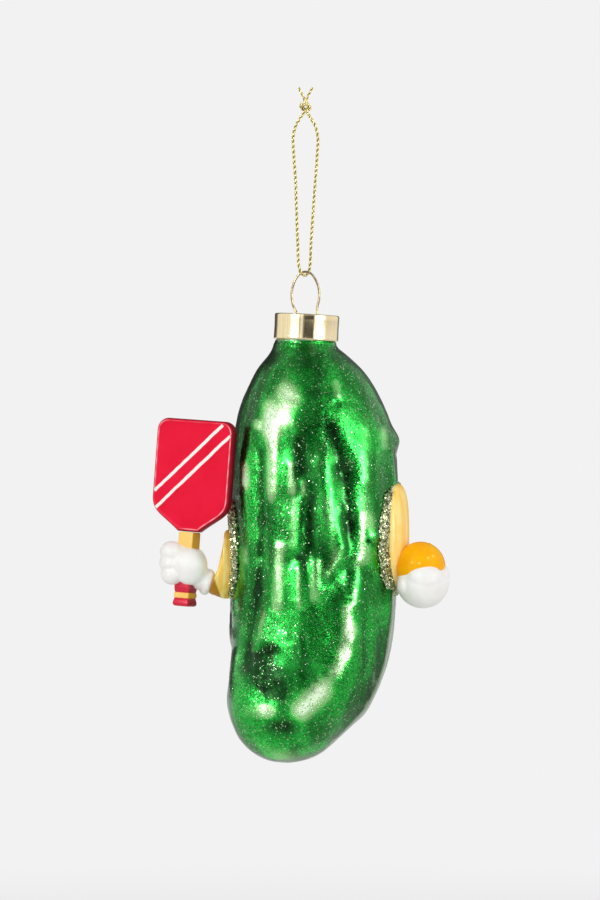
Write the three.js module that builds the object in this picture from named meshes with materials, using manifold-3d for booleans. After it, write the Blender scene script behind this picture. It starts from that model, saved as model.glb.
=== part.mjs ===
// A blown-glass pickle ornament on a gold cord: a hollow green pickle with a gold cap and wire eye,
// two yellow arms, white gloves, a red paddle in one glove and a small ball in the other.
// Millimetres, +Z up, seen from the front along +Y. The origin is the hang point: the inside top
// of the cord loop, where a branch or hook carries the ornament.

import * as THREE from 'three';
import { mergeVertices } from 'three/addons/utils/BufferGeometryUtils.js';
import Module from 'manifold-3d';

const wasm = await Module();
wasm.setup();

// Fits
const seatGap = 0.3;            // paint, glue and running gaps between neighbouring pieces

// Cord: one loop of twisted gold cord, tied in a knot above the hang point
const cordDiameter = 0.8;
const cordDrop = 42.55;         // hang point to the middle of the cord's lowest turn
const cordHalfSpread = 3.2;     // half the loop's width at its widest, near the top
const knotRadius = 1.25;
const knotHeight = 3.2;
const tailLength = 5.4;

// Wire eye: one sprung wire, an egg-shaped loop above the cap and two legs inside the neck
const wireDiameter = 0.6;
const eyeHeight = 11.1;         // crown of the wire to the top of the cap
const eyeHalfWidth = 3.6;
const legSpacing = 5.3;         // between the two holes in the cap
const legLength = 12.5;         // below the top of the cap
const legHoleDiameter = 1.5;

// Cap: a thin drawn metal cup that hangs a little askew
const capRadius = 8.4;
const capHeight = 6.7;
const capWall = 0.5;
const capEdge = 0.35;           // small rounding of the rims
const capTilt = THREE.MathUtils.degToRad(3);
const capShift = 0.45;          // the cap's middle stands right of the wire's crown

// Glass body
const glassWall = 1.3;
const neckRadius = capRadius - capWall - seatGap;
const neckStep = 0.3;           // the glass steps out this much just under the cap
const collarLength = 1.0;       // short straight stretch below the step, square to the cap
const collarFlare = 0.4;
const shoulderTurn = 3;         // drop over which the sections turn level
const bendFrom = 0.4;           // shares of the length between which the sections turn with the bend
const bendTo = 0.68;
const bodyDepthRatio = 0.94;    // front-to-back size over width
const noseLength = 12.2;        // the blunt lower end, past the last station
const noseRoundness = 1.6;
const nosePower = 0.55;

// Stations down the pickle: how far down as a share of its length, then its radius and how far
// the middle has moved to the right and towards the front, as shares of its widest radius
const pickleLength = 109.4;
const pickleRadius = 21.5;
const stationShares = [
  { at: 0.03, wide: 0.451, right: 0.019, front: 0 },
  { at: 0.067, wide: 0.628, right: 0.042, front: 0 },
  { at: 0.119, wide: 0.786, right: 0.067, front: 0 },
  { at: 0.183, wide: 0.916, right: 0.086, front: 0 },
  { at: 0.265, wide: 0.977, right: 0.102, front: 0 },
  { at: 0.384, wide: 1, right: 0.107, front: 0 },
  { at: 0.548, wide: 0.986, right: 0.098, front: 0.014 },
  { at: 0.695, wide: 0.967, right: 0.065, front: 0.051 },
  { at: 0.777, wide: 0.93, right: -0.023, front: 0.112 },
  { at: 0.833, wide: 0.842, right: -0.153, front: 0.177 },
  { at: 0.888, wide: 0.716, right: -0.293, front: 0.242 },
];

// Long ridges and grooves pressed into the glass: angle round from the front (positive to the
// right), where each starts and ends as shares of the length, its half width in degrees and its
// height as a share of the usual ridge
const ridgeHeight = 0.5;
const ridgeFade = 5.5;          // length over which a ridge rises and dies away, each way
const frontRidges = [
  { angle: -76, from: 0.24, to: 0.77, halfWidth: 5, height: 0.8 },
  { angle: -57, from: 0.27, to: 0.73, halfWidth: 6, height: 1 },
  { angle: -43, from: 0.26, to: 0.75, halfWidth: 4, height: -1.3 },
  { angle: -28, from: 0.20, to: 0.68, halfWidth: 6, height: 1.1 },
  { angle: -18, from: 0.40, to: 0.57, halfWidth: 4, height: -1 },
  { angle: -10, from: 0.40, to: 0.66, halfWidth: 4, height: 1 },
  { angle: -2, from: 0.33, to: 0.51, halfWidth: 5, height: -1.1 },
  { angle: 8, from: 0.24, to: 0.64, halfWidth: 6, height: 1 },
  { angle: 20, from: 0.40, to: 0.57, halfWidth: 4, height: 0.9 },
  { angle: 26, from: 0.27, to: 0.60, halfWidth: 4, height: -1.2 },
  { angle: 38, from: 0.22, to: 0.66, halfWidth: 7, height: 1.1 },
  { angle: 56, from: 0.18, to: 0.55, halfWidth: 5, height: -0.8 },
  { angle: 68, from: 0.22, to: 0.82, halfWidth: 7, height: 0.8 },
];
const backRidgeCount = 9;       // the unseen back goes on in the same way, evenly spaced
const backRidgeFrom = 0.22;
const backRidgeTo = 0.75;
const backRidgeHalfWidth = 6;

// Warts: angle round from the front, share of the length, radius and height
const warts = [
  { angle: 24, at: 0.126, radius: 1.5, height: 0.8 },
  { angle: -47, at: 0.197, radius: 1.6, height: 0.6 },
  { angle: 57, at: 0.230, radius: 2.0, height: 0.8 },
  { angle: 84, at: 0.234, radius: 2.3, height: 1.6 },
  { angle: -59, at: 0.320, radius: 1.8, height: 0.7 },
  { angle: -16, at: 0.315, radius: 1.8, height: 0.8 },
  { angle: -7, at: 0.341, radius: 1.6, height: 0.6 },
  { angle: -31, at: 0.359, radius: 1.7, height: 0.8 },
  { angle: 46, at: 0.461, radius: 2.1, height: 1.1 },
  { angle: -9, at: 0.489, radius: 1.9, height: 0.8 },
  { angle: 1, at: 0.580, radius: 2.0, height: 0.7 },
  { angle: 22, at: 0.686, radius: 2.4, height: 0.6 },
  { angle: -140, at: 0.201, radius: 2.0, height: 0.9 },
  { angle: 150, at: 0.302, radius: 2.2, height: 1.0 },
  { angle: -165, at: 0.430, radius: 2.0, height: 0.9 },
  { angle: 128, at: 0.558, radius: 2.1, height: 1.0 },
  { angle: -125, at: 0.640, radius: 2.2, height: 0.9 },
  { angle: 175, at: 0.713, radius: 2.0, height: 0.8 },
];

// Right arm: an almond leaf laid down the pickle's right side
const rightArmAt = 0.468;       // middle of the arm, as a share of the pickle's length
const rightArm = { halfLength: 14.4, halfThickness: 3.6, halfBreadth: 7.2, front: 3.0, sink: 0.9, turn: 14 };

// Left arm: a sleeve that leaves the pickle's left side and narrows to the cuff
const leftArmAt = 0.532;        // middle of the sleeve's seam, as a share of the pickle's length
const sleeve = [
  { out: -3.2, up: -0.6, lean: 0, halfHeight: 7.9, halfDepth: 4.7 },
  { out: 0.2, up: -0.65, lean: -3, halfHeight: 8.1, halfDepth: 4.6 },
  { out: 2.3, up: -3.2, lean: 5, halfHeight: 5.3, halfDepth: 3.9 },
  { out: 4.3, up: -4.3, lean: 20, halfHeight: 3.2, halfDepth: 3.2 },
];

// Glitter beads: raised bands of coarse glitter round the seams of the arms
const beadWidth = 2.6;
const beadTopWidth = 1.1;       // thinner where it turns over the top and bottom of an arm
const beadHeight = 0.9;
const leftBead = { halfLength: 13.2, halfThickness: 2.5, up: 4.4 };

// Left glove: a fist of overlapping rounds, given from the middle of the fist
const fistOut = 11.6;           // middle of the fist from the pickle's side
const fistUp = 0.3;
const fistFront = 3.1;
const fistRadius = 5;           // the rounds below are shares of this
const fistRounds = [
  { right: 0, front: 0.08, up: 0, size: [1, 1, 0.95] },
  { right: 0.44, front: -0.4, up: 0.04, size: [0.62, 0.68, 0.7] },
  { right: -0.88, front: 0.12, up: 0.5, size: [0.52, 0.78, 0.62] },
  { right: -1, front: 0.04, up: 0, size: [0.56, 0.8, 0.5] },
  { right: -0.78, front: 0.08, up: -0.58, size: [0.56, 0.76, 0.54] },
];
const cuffRoll = { right: 1.04, front: -0.08, up: -0.9, size: [0.38, 0.7, 0.74], lean: 21 };
const wristRound = { right: 0.64, front: -0.08, up: -0.54, size: [0.68, 0.64, 0.68], lean: 21 };

// Paddle, in its own frame: the handle's axis is upright and passes the middle of the fist
const paddleTilt = THREE.MathUtils.degToRad(4.2);
const paddleTurn = THREE.MathUtils.degToRad(28);
const bladeHalfWidth = 11.3;
const bladeHeight = 29.1;
const bladeThickness = 2.8;
const bladeCorner = 3.2;
const bladeShoulder = 8.8;      // height of the sloping lower part of the blade
const bladeFoot = 8.2;          // blade's lower end above the middle of the fist
const throatHalfWidth = 3.1;
const bladeBevel = 0.4;
const handleWidth = 4.3;
const handleDepth = 4.3;
const gripTop = -4.9;           // where the grip leaves the fist
const gripLength = 6.3;
const gripWidth = 4.6;
const gripDepth = 4.6;
const gripCorner = 0.7;
const gripWall = 1.2;
const bandDrop = 2.7;           // top of the band below the top of the grip
const bandWidth = 1.5;
const bandThickness = 0.35;

// Ball and right glove
const ballRadius = 6.45;
const ballOut = 6.1;            // middle of the ball from the pickle's side
const ballFront = 7.2;
const ballUp = -7.5;
const mittRadius = 6.2;         // the rounds below are shares of this
const mittRounds = [
  { right: -0.016, front: 0.161, up: -0.823, size: [0.984, 1, 0.984] },
  { right: 0.452, front: 0.742, up: -0.565, size: [0.468, 0.419, 0.645] },
  { right: -0.177, front: 0.774, up: -0.645, size: [0.419, 0.387, 0.645] },
  { right: -0.71, front: 0.581, up: -0.855, size: [0.323, 0.484, 0.516] },
  { right: 0.935, front: 0.258, up: -0.532, size: [0.274, 0.355, 0.629] },
];

// Facets
const bodySides = 48;
const boreSides = 24;
const outerRows = 32;
const innerRows = 12;
const noseRows = 6;
const roundSides = 16;
const roundRings = 10;
const capSides = 40;
const ballSides = 20;
const wireSides = 8;

const colours = {
  glass: { color: 0x2b7a3c, roughness: 0.15, metalness: 0.7 },
  gold: { color: 0xe4d2a0, roughness: 0.2, metalness: 1 },
  wire: { color: 0xc9b88f, roughness: 0.25, metalness: 1 },
  cord: { color: 0xc7a84f, roughness: 0.5, metalness: 0.6 },
  yellow: { color: 0xf5d070, roughness: 0.35, metalness: 0.1 },
  glove: { color: 0xe6e4dc, roughness: 0.5, metalness: 0 },
  glitter: { color: 0x9fae6a, roughness: 0.4, metalness: 0.6 },
  red: { color: 0xe91e40, roughness: 0.35, metalness: 0 },
  ball: { color: 0xf9b40c, roughness: 0.4, metalness: 0 },
};

const up = new THREE.Vector3(0, 0, 1);

const bodyStations = stationShares.map((s) => ({
  drop: s.at * pickleLength,
  radius: s.wide * pickleRadius,
  right: s.right * pickleRadius,
  front: s.front * pickleRadius,
}));

function vec(x, y, z) {
  return new THREE.Vector3(x, y, z);
}

// The cap's top middle, its axis and the lip where the glass comes out from under it
const crownHeight = -cordDrop + cordDiameter / 2 + seatGap + wireDiameter / 2;
const capTop = vec(capShift, 0, crownHeight - eyeHeight);
const capAxis = vec(Math.sin(capTilt), 0, Math.cos(capTilt));
const capLip = capTop.clone().addScaledVector(capAxis, -capHeight);
const capSide = vec(Math.cos(capTilt), 0, -Math.sin(capTilt));

function solidOf(geometry) {
  const bare = geometry.clone();
  bare.deleteAttribute('normal');
  bare.deleteAttribute('uv');
  const merged = mergeVertices(bare, 1e-4);
  const mesh = new wasm.Mesh({
    numProp: 3,
    vertProperties: new Float32Array(merged.attributes.position.array),
    triVerts: new Uint32Array(merged.index.array),
  });
  return new wasm.Manifold(mesh);
}

function geometryOf(solid) {
  const mesh = solid.getMesh();
  const geometry = new THREE.BufferGeometry();
  geometry.setAttribute('position', new THREE.BufferAttribute(mesh.vertProperties, 3));
  geometry.setIndex(new THREE.BufferAttribute(mesh.triVerts, 1));
  geometry.computeVertexNormals();
  return geometry;
}

function joinAll(solids) {
  return solids.reduce((whole, solid) => whole.add(solid));
}

// A closed skin through rings of points; each end is closed by its middle point
function skinOf(rings) {
  const sides = rings[0].length;
  const points = rings.flat();
  const faces = [];
  for (let row = 0; row + 1 < rings.length; row++) {
    for (let i = 0; i < sides; i++) {
      const next = (i + 1) % sides;
      const a = row * sides + i;
      const b = row * sides + next;
      faces.push(a, a + sides, b, b, a + sides, b + sides);
    }
  }
  for (const [row, flip] of [[0, false], [rings.length - 1, true]]) {
    const middle = points.length;
    points.push(rings[row].reduce((sum, p) => sum.add(p), vec(0, 0, 0)).divideScalar(sides));
    for (let i = 0; i < sides; i++) {
      const a = row * sides + i;
      const b = row * sides + (i + 1) % sides;
      faces.push(middle, flip ? b : a, flip ? a : b);
    }
  }
  const geometry = new THREE.BufferGeometry().setFromPoints(points);
  geometry.setIndex(faces);
  geometry.computeVertexNormals();
  return geometry;
}

// A round rod along a curve
function rod(curve, diameter, sides, steps) {
  const section = new THREE.Shape();
  section.absarc(0, 0, diameter / 2, 0, 2 * Math.PI, false);
  return new THREE.ExtrudeGeometry(section, {
    extrudePath: curve,
    steps,
    curveSegments: sides / 2,
    bevelEnabled: false,
  });
}

function ellipsoid(size) {
  const geometry = new THREE.SphereGeometry(1, roundSides, roundRings);
  geometry.rotateX(Math.PI / 2);
  return geometry.scale(size[0], size[1], size[2]);
}

// Smooth 0 to 1 as x goes from start to end
function ease(x, start, end) {
  const t = Math.min(1, Math.max(0, (x - start) / (end - start)));
  return t * t * (3 - 2 * t);
}

function turnBetween(a, b) {
  return Math.abs(((a - b + 540) % 360) - 180);
}

const backRidges = Array.from({ length: backRidgeCount }, (_, i) => ({
  angle: 90 + (i + 0.5) * 180 / backRidgeCount,
  from: backRidgeFrom,
  to: backRidgeTo,
  halfWidth: backRidgeHalfWidth,
  height: i % 2 ? -1 : 1,
}));

// How far the glass stands proud of its smooth form, at an angle in degrees and a drop
function relief(angle, drop) {
  let height = 0;
  for (const ridge of [...frontRidges, ...backRidges]) {
    const across = turnBetween(angle, ridge.angle) / ridge.halfWidth;
    const [from, to] = [ridge.from * pickleLength, ridge.to * pickleLength];
    const rise = ease(drop, from - ridgeFade, from + ridgeFade);
    const fall = ease(-drop, -to - ridgeFade, -to + ridgeFade);
    height += ridgeHeight * ridge.height * rise * fall * Math.exp(-across * across);
  }
  for (const wart of warts) {
    const round = THREE.MathUtils.degToRad(turnBetween(angle, wart.angle)) * pickleRadius;
    const far = Math.hypot(round, drop - wart.at * pickleLength) / wart.radius;
    height += wart.height * Math.exp(-far * far);
  }
  return height;
}

const stationPoints = bodyStations.map((s) => vec(capLip.x + s.right, -s.front, capLip.z - s.drop));
const shoulder = capLip.clone().addScaledVector(capAxis, -neckStep);
const collar = shoulder.clone().addScaledVector(capAxis, -collarLength);
const middleLine = new THREE.CatmullRomCurve3([shoulder, collar, ...stationPoints]);
const collarRadius = neckRadius + neckStep;
const allRadii = [collarRadius, collarRadius + collarFlare, ...bodyStations.map((s) => s.radius)];
const radiusLine = new THREE.CatmullRomCurve3(allRadii.map((r, i) => vec(r, i * 8, 0)));

// A ring of the pickle: its middle, radius and direction
function sectionRing(middle, radius, down, sides, proud) {
  const side = vec(-down.z, 0, down.x).normalize();
  const front = down.clone().cross(side);
  const ring = [];
  for (let i = 0; i < sides; i++) {
    const angle = (2 * Math.PI * i) / sides;
    const degrees = THREE.MathUtils.radToDeg(angle);
    const r = radius + (proud ? proud(degrees > 180 ? degrees - 360 : degrees) : 0);
    const point = middle.clone().addScaledVector(side, r * Math.sin(angle));
    ring.push(point.addScaledVector(front, r * bodyDepthRatio * Math.cos(angle)));
  }
  return ring;
}

// Sections start square to the cap, lie level down the body and follow its bend at the lower end
function sectionDown(t) {
  const drop = capLip.z - middleLine.getPoint(t).z;
  const level = ease(drop, collarLength, collarLength + shoulderTurn);
  const bent = ease(drop / pickleLength, bendFrom, bendTo);
  const down = capAxis.clone().negate().lerp(up.clone().negate(), level);
  return down.lerp(middleLine.getTangent(t), bent).normalize();
}

// Rings from the shoulder to near the tip, grown outwards (or inwards) by an offset
function bodyRings(rows, offset, sides, bumpy) {
  const rings = [];
  for (let row = 0; row <= rows; row++) {
    const t = row / rows;
    const middle = middleLine.getPoint(t);
    const radius = radiusLine.getPoint(t).x + offset;
    const proud = bumpy ? (degrees) => relief(degrees, capLip.z - middle.z) : null;
    rings.push(sectionRing(middle, radius, sectionDown(t), sides, proud));
  }
  const down = middleLine.getTangent(1);
  const last = stationPoints[stationPoints.length - 1];
  const lastRadius = bodyStations[bodyStations.length - 1].radius + offset;
  const reach = noseLength + offset;
  for (let row = 1; row < noseRows; row++) {
    const along = Math.sin((row / noseRows) * Math.PI / 2);
    const radius = lastRadius * (1 - along ** noseRoundness) ** nosePower;
    const middle = last.clone().addScaledVector(down, reach * along);
    rings.push(sectionRing(middle, radius, down, sides, null));
  }
  rings.push(sectionRing(last.clone().addScaledVector(down, reach), 0.05, down, sides, null));
  return rings;
}

function neckRing(height, radius, sides) {
  const middle = capLip.clone().addScaledVector(capAxis, height);
  return sectionRing(middle, radius, capAxis.clone().negate(), sides, null)
    .map((p) => {
      const out = p.clone().sub(middle);
      out.y /= bodyDepthRatio;
      return middle.clone().add(out);
    });
}

const neckTop = capHeight - capWall - seatGap;

// The blown shell: outside from the neck to the tip, then inside back up to the mouth
function glassBodyGeometry() {
  const boreRadius = neckRadius - glassWall;
  const neck = [neckTop, 0].map((height) => neckRing(height, neckRadius, bodySides));
  const outside = solidOf(skinOf([...neck, ...bodyRings(outerRows, 0, bodySides, true)]));
  const bore = [neckTop + 1, -neckStep].map((height) => neckRing(height, boreRadius, boreSides));
  const hollow = bodyRings(innerRows, -glassWall - ridgeHeight, boreSides, false).slice(1);
  return geometryOf(outside.subtract(solidOf(skinOf([...bore, ...hollow]))));
}

// The pickle's outside as a solid that neighbours are cut by
function bodySolid(offset) {
  const neck = neckRing(neckTop, neckRadius, bodySides);
  return solidOf(skinOf([neck, ...bodyRings(outerRows, offset, bodySides, true)]));
}

// A point on the pickle's side: sign +1 for the right, -1 for the left
function sidePoint(drop, sign) {
  const stations = [{ drop: 0, radius: neckRadius, right: 0, front: 0 }, ...bodyStations];
  const below = stations.findIndex((s) => s.drop >= drop);
  const [a, b] = [stations[below - 1], stations[below]];
  const t = (drop - a.drop) / (b.drop - a.drop);
  const mix = (key) => a[key] + (b[key] - a[key]) * t;
  return vec(capLip.x + mix('right') + sign * mix('radius'), -mix('front'), capLip.z - drop);
}

const rightSide = sidePoint(rightArmAt * pickleLength, 1);
const leftSide = sidePoint(leftArmAt * pickleLength, -1);

// Cord and knot
const cordPoints = [
  [-0.5, 0, -0.35],
  [-1.35, 0, -1.6],
  [-2.5, -0.1, -3.6],
  [-cordHalfSpread, -0.2, -6.5],
  [-3.05, -0.4, -11],
  [-2.6, -0.6, -17.5],
  [-2.35, -0.8, -25],
  [-2.05, -1.4, -33.5],
  [-1.7, -2.1, -cordDrop + 2.4],
  [-1.2, -1.7, -cordDrop + 0.7],
  [-0.25, 0, -cordDrop],
  [0.75, 1.6, -cordDrop + 0.7],
  [1.15, 2.0, -cordDrop + 2.4],
  [1.5, 1.35, -33.5],
  [2.05, 0.8, -25],
  [2.6, 0.6, -17.5],
  [3.05, 0.4, -11],
  [cordHalfSpread, 0.2, -6.5],
  [2.5, 0.1, -3.6],
  [1.35, 0, -1.6],
  [0.5, 0, -0.35],
];

function cordGeometry() {
  const curve = new THREE.CatmullRomCurve3(cordPoints.map((p) => vec(...p)));
  return rod(curve, cordDiameter, 8, 50);
}

function knotGeometry() {
  const bottom = cordPoints[0][2] + seatGap;
  const profile = [];
  for (let i = 0; i <= 8; i++) {
    const angle = (Math.PI * i) / 8 - Math.PI / 2;
    profile.push(new THREE.Vector2(knotRadius * Math.cos(angle), (knotHeight / 2) * Math.sin(angle)));
  }
  profile[0].x = 0;
  profile[8].x = 0;
  const knot = new THREE.LatheGeometry(profile, 12).rotateX(Math.PI / 2);
  knot.translate(0, 0, bottom + knotHeight / 2);
  const tails = [-1, 1].map((sign) => {
    const foot = bottom + knotHeight * 0.7;
    const path = new THREE.CatmullRomCurve3([
      vec(sign * 0.3, 0, foot),
      vec(sign * 0.9, sign * 0.2, foot + tailLength * 0.45),
      vec(sign * 1.9, sign * 0.3, foot + tailLength * 0.8),
    ]);
    return solidOf(rod(path, cordDiameter, 8, 4));
  });
  return geometryOf(joinAll([solidOf(knot), ...tails]));
}

// The wire eye, drawn from one leg tip up round the loop and down to the other tip
function wireGeometry() {
  const points = [];
  const half = legSpacing / 2;
  const legOut = neckRadius - glassWall - seatGap - wireDiameter / 2;
  for (const sign of [-1, 1]) {
    const local = [
      [legOut * 0.97, -legLength],
      [legOut * 0.86, -legLength * 0.76],
      [half + (legOut - half) * 0.45, -legLength * 0.42],
      [half + 0.05, -1.4],
      [half, 0],
    ];
    const leg = local.map(([out, height]) => capTop.clone()
      .addScaledVector(capSide, sign * out)
      .addScaledVector(capAxis, height));
    const eye = [
      [0.86, -0.82],
      [0.99, -0.62],
      [0.96, -0.4],
      [0.72, -0.18],
      [0.34, -0.03],
    ].map(([out, height]) => vec(sign * eyeHalfWidth * out, 0, crownHeight + height * eyeHeight));
    const half3 = [...leg, ...eye];
    points.push(...(sign < 0 ? [...half3, vec(0, 0, crownHeight)] : half3.reverse()));
  }
  return rod(new THREE.CatmullRomCurve3(points), wireDiameter, wireSides, 56);
}

// The cap, in its own frame: top face at height 0, axis upright
function capGeometry() {
  const inner = capRadius - capWall;
  const profile = [
    [0, 0],
    [capRadius - capEdge, 0],
    [capRadius, -capEdge],
    [capRadius, -capHeight],
    [inner, -capHeight],
    [inner, -capWall],
    [0, -capWall],
  ].map(([r, z]) => new THREE.Vector2(r, z)).reverse();
  const cup = solidOf(new THREE.LatheGeometry(profile, capSides).rotateX(Math.PI / 2));
  const holes = [-1, 1].map((sign) => {
    const drill = new THREE.CylinderGeometry(legHoleDiameter / 2, legHoleDiameter / 2, 4 * capWall, 12);
    return solidOf(drill.rotateX(Math.PI / 2).translate((sign * legSpacing) / 2, 0, -capWall / 2));
  });
  return geometryOf(cup.subtract(joinAll(holes)));
}

function rightArmSolid(extra, extraLength) {
  const across = [rightArm.halfThickness + extra, rightArm.halfBreadth + extra];
  const leaf = ellipsoid([...across, rightArm.halfLength + extraLength]);
  leaf.rotateZ(-THREE.MathUtils.degToRad(rightArm.turn));
  leaf.translate(rightSide.x - rightArm.sink, rightSide.y - rightArm.front, rightSide.z);
  return solidOf(leaf);
}

// Loft of the sleeve; extra grows every section
function leftArmSolid(extra) {
  const rings = sleeve.map((s) => {
    const lean = THREE.MathUtils.degToRad(s.lean);
    const ring = [];
    for (let i = 0; i < roundSides; i++) {
      const angle = (2 * Math.PI * i) / roundSides;
      const high = (s.halfHeight + extra) * Math.sin(angle);
      const deep = (s.halfDepth + extra) * Math.cos(angle);
      ring.push(vec(
        leftSide.x - s.out + high * Math.sin(lean),
        leftSide.y - (fistFront * Math.max(0, s.out)) / sleeve[3].out + deep,
        leftSide.z + s.up + high * Math.cos(lean),
      ));
    }
    return ring;
  });
  return solidOf(skinOf(rings));
}

function roundAt(middle, round, unit, extra) {
  const shape = ellipsoid(round.size.map((share) => share * unit + extra));
  if (round.lean) {
    shape.rotateY(THREE.MathUtils.degToRad(round.lean));
  }
  const place = vec(round.right, -round.front, round.up).multiplyScalar(unit).add(middle);
  return solidOf(shape.translate(place.x, place.y, place.z));
}

// Paddle frame
const fist = vec(leftSide.x - fistOut, leftSide.y - fistFront, leftSide.z + fistUp);
const paddle = new THREE.Group();
paddle.position.copy(fist);
paddle.rotation.set(0, paddleTilt, -paddleTurn);
paddle.updateMatrixWorld(true);

function bladeGeometry() {
  const w = bladeHalfWidth - bladeBevel;
  const top = bladeFoot + bladeHeight - bladeBevel;
  const foot = bladeFoot + bladeBevel;
  const neck = throatHalfWidth - bladeBevel;
  const cornerTop = top - bladeCorner;
  const outline = new THREE.Shape();
  outline.moveTo(-neck, foot);
  outline.lineTo(neck, foot);
  const [bulge, low, high] = [w * 0.72, foot + bladeShoulder * 0.45, foot + bladeShoulder * 0.5];
  outline.bezierCurveTo(bulge, low, w, high, w, foot + bladeShoulder);
  outline.lineTo(w, cornerTop);
  outline.absarc(w - bladeCorner, cornerTop, bladeCorner, 0, Math.PI / 2, false);
  outline.lineTo(-w + bladeCorner, top);
  outline.absarc(-w + bladeCorner, cornerTop, bladeCorner, Math.PI / 2, Math.PI, false);
  outline.lineTo(-w, foot + bladeShoulder);
  outline.bezierCurveTo(-w, high, -bulge, low, -neck, foot);
  const blade = new THREE.ExtrudeGeometry(outline, {
    depth: bladeThickness - 2 * bladeBevel,
    bevelThickness: bladeBevel,
    bevelSize: bladeBevel,
    bevelSegments: 1,
    curveSegments: 6,
  });
  return blade.translate(0, 0, -bladeThickness / 2 + bladeBevel).rotateX(Math.PI / 2);
}

function bar(width, depth, low, high) {
  return new THREE.BoxGeometry(width, depth, high - low).translate(0, 0, (high + low) / 2);
}

const handleTop = bladeFoot - seatGap;
const tangWidth = gripWidth - 2 * (gripWall + seatGap);
const tangDepth = gripDepth - 2 * (gripWall + seatGap);
const tangEnd = gripTop - gripLength + gripWall;

// The handle: a square bar through the fist with a thinner tang inside the grip
function handleGeometry() {
  const body = solidOf(bar(handleWidth, handleDepth, gripTop + seatGap, handleTop));
  const tang = solidOf(bar(tangWidth, tangDepth, tangEnd + seatGap, gripTop + 1));
  return geometryOf(body.add(tang));
}

function roundedSquare(width, depth, corner) {
  const shape = new THREE.Shape();
  const x = width / 2 - corner;
  const y = depth / 2 - corner;
  shape.absarc(x, y, corner, 0, Math.PI / 2, false);
  shape.absarc(-x, y, corner, Math.PI / 2, Math.PI, false);
  shape.absarc(-x, -y, corner, Math.PI, 1.5 * Math.PI, false);
  shape.absarc(x, -y, corner, 1.5 * Math.PI, 2 * Math.PI, false);
  return shape;
}

function post(width, depth, corner, low, high) {
  const shape = roundedSquare(width, depth, corner);
  const options = { depth: high - low, bevelEnabled: false, curveSegments: 3 };
  return new THREE.ExtrudeGeometry(shape, options).translate(0, 0, low);
}

// The grip: a sleeve over the tang, with a shallow groove that the band lies in
const bandTop = gripTop - bandDrop;
const bandLow = bandTop - bandWidth;
const grooveDepth = bandThickness + seatGap;

function gripPost(inset, low, high) {
  return solidOf(post(gripWidth - 2 * inset, gripDepth - 2 * inset, gripCorner, low, high));
}

function gripGeometry() {
  const sleeveSolid = gripPost(0, gripTop - gripLength, gripTop);
  const socket = bar(tangWidth + 2 * seatGap, tangDepth + 2 * seatGap, tangEnd, gripTop + 1);
  const grooveLow = bandLow - seatGap;
  const grooveHigh = bandTop + seatGap;
  const left = gripPost(grooveDepth, grooveLow - 1, grooveHigh + 1);
  const groove = gripPost(-1, grooveLow, grooveHigh).subtract(left);
  return geometryOf(sleeveSolid.subtract(solidOf(socket)).subtract(groove));
}

function bandGeometry() {
  const inside = gripPost(bandThickness, bandLow - 1, bandTop + 1);
  return geometryOf(gripPost(0, bandLow, bandTop).subtract(inside));
}

const ballMiddle = vec(rightSide.x + ballOut, rightSide.y - ballFront, rightSide.z + ballUp);
function ballSolid(extra) {
  const r = ballRadius + extra;
  return solidOf(new THREE.SphereGeometry(r, ballSides, ballSides / 2).rotateX(Math.PI / 2)
    .translate(ballMiddle.x, ballMiddle.y, ballMiddle.z));
}

const bodyCut = bodySolid(seatGap);
const beadSkin = bodySolid(seatGap + beadHeight);
const ballCut = ballSolid(seatGap);

function mittSolid(extra) {
  return joinAll(mittRounds.map((round) => roundAt(ballMiddle, round, mittRadius, extra)));
}

function rightGloveGeometry() {
  return geometryOf(mittSolid(0).subtract(ballCut).subtract(bodyCut));
}

function rightArmGeometry() {
  return geometryOf(rightArmSolid(0, 0).subtract(bodyCut).subtract(ballCut).subtract(mittSolid(seatGap)));
}

// A glitter bead: a skin of even height on the pickle, all round the foot of an arm
function beadGeometry(outline, neighbours) {
  const band = beadSkin.intersect(outline).subtract(bodyCut);
  return geometryOf(neighbours.reduce((rest, neighbour) => rest.subtract(neighbour), band));
}

function rightBeadGeometry() {
  const neighbours = [rightArmSolid(seatGap, seatGap), ballCut, mittSolid(seatGap)];
  return beadGeometry(rightArmSolid(beadWidth, beadTopWidth), neighbours);
}

function fistSolid(extra) {
  const rounds = [...fistRounds, cuffRoll, wristRound];
  return joinAll(rounds.map((round) => roundAt(fist, round, fistRadius, extra)));
}

function leftGloveGeometry() {
  const channel = bar(handleWidth + 2 * seatGap, handleDepth + 2 * seatGap, gripTop - gripLength, bladeFoot);
  const cut = solidOf(channel.applyMatrix4(paddle.matrixWorld));
  const grip = post(gripWidth, gripDepth, gripCorner, gripTop - gripLength, gripTop + seatGap);
  const gripCut = solidOf(grip.applyMatrix4(paddle.matrixWorld));
  return geometryOf(fistSolid(0).subtract(cut).subtract(gripCut).subtract(bodyCut));
}

function leftArmGeometry() {
  return geometryOf(leftArmSolid(0).subtract(bodyCut).subtract(fistSolid(seatGap)));
}

function leftBeadGeometry() {
  const breadth = sleeve[1].halfDepth + beadWidth;
  const leaf = ellipsoid([leftBead.halfThickness, breadth, leftBead.halfLength]);
  leaf.translate(leftSide.x, leftSide.y, leftSide.z + leftBead.up);
  return beadGeometry(solidOf(leaf), [leftArmSolid(seatGap), fistSolid(seatGap)]);
}

function mesh(name, geometry, finish) {
  const piece = new THREE.Mesh(geometry, new THREE.MeshStandardMaterial(finish));
  piece.name = name;
  return piece;
}

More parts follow.
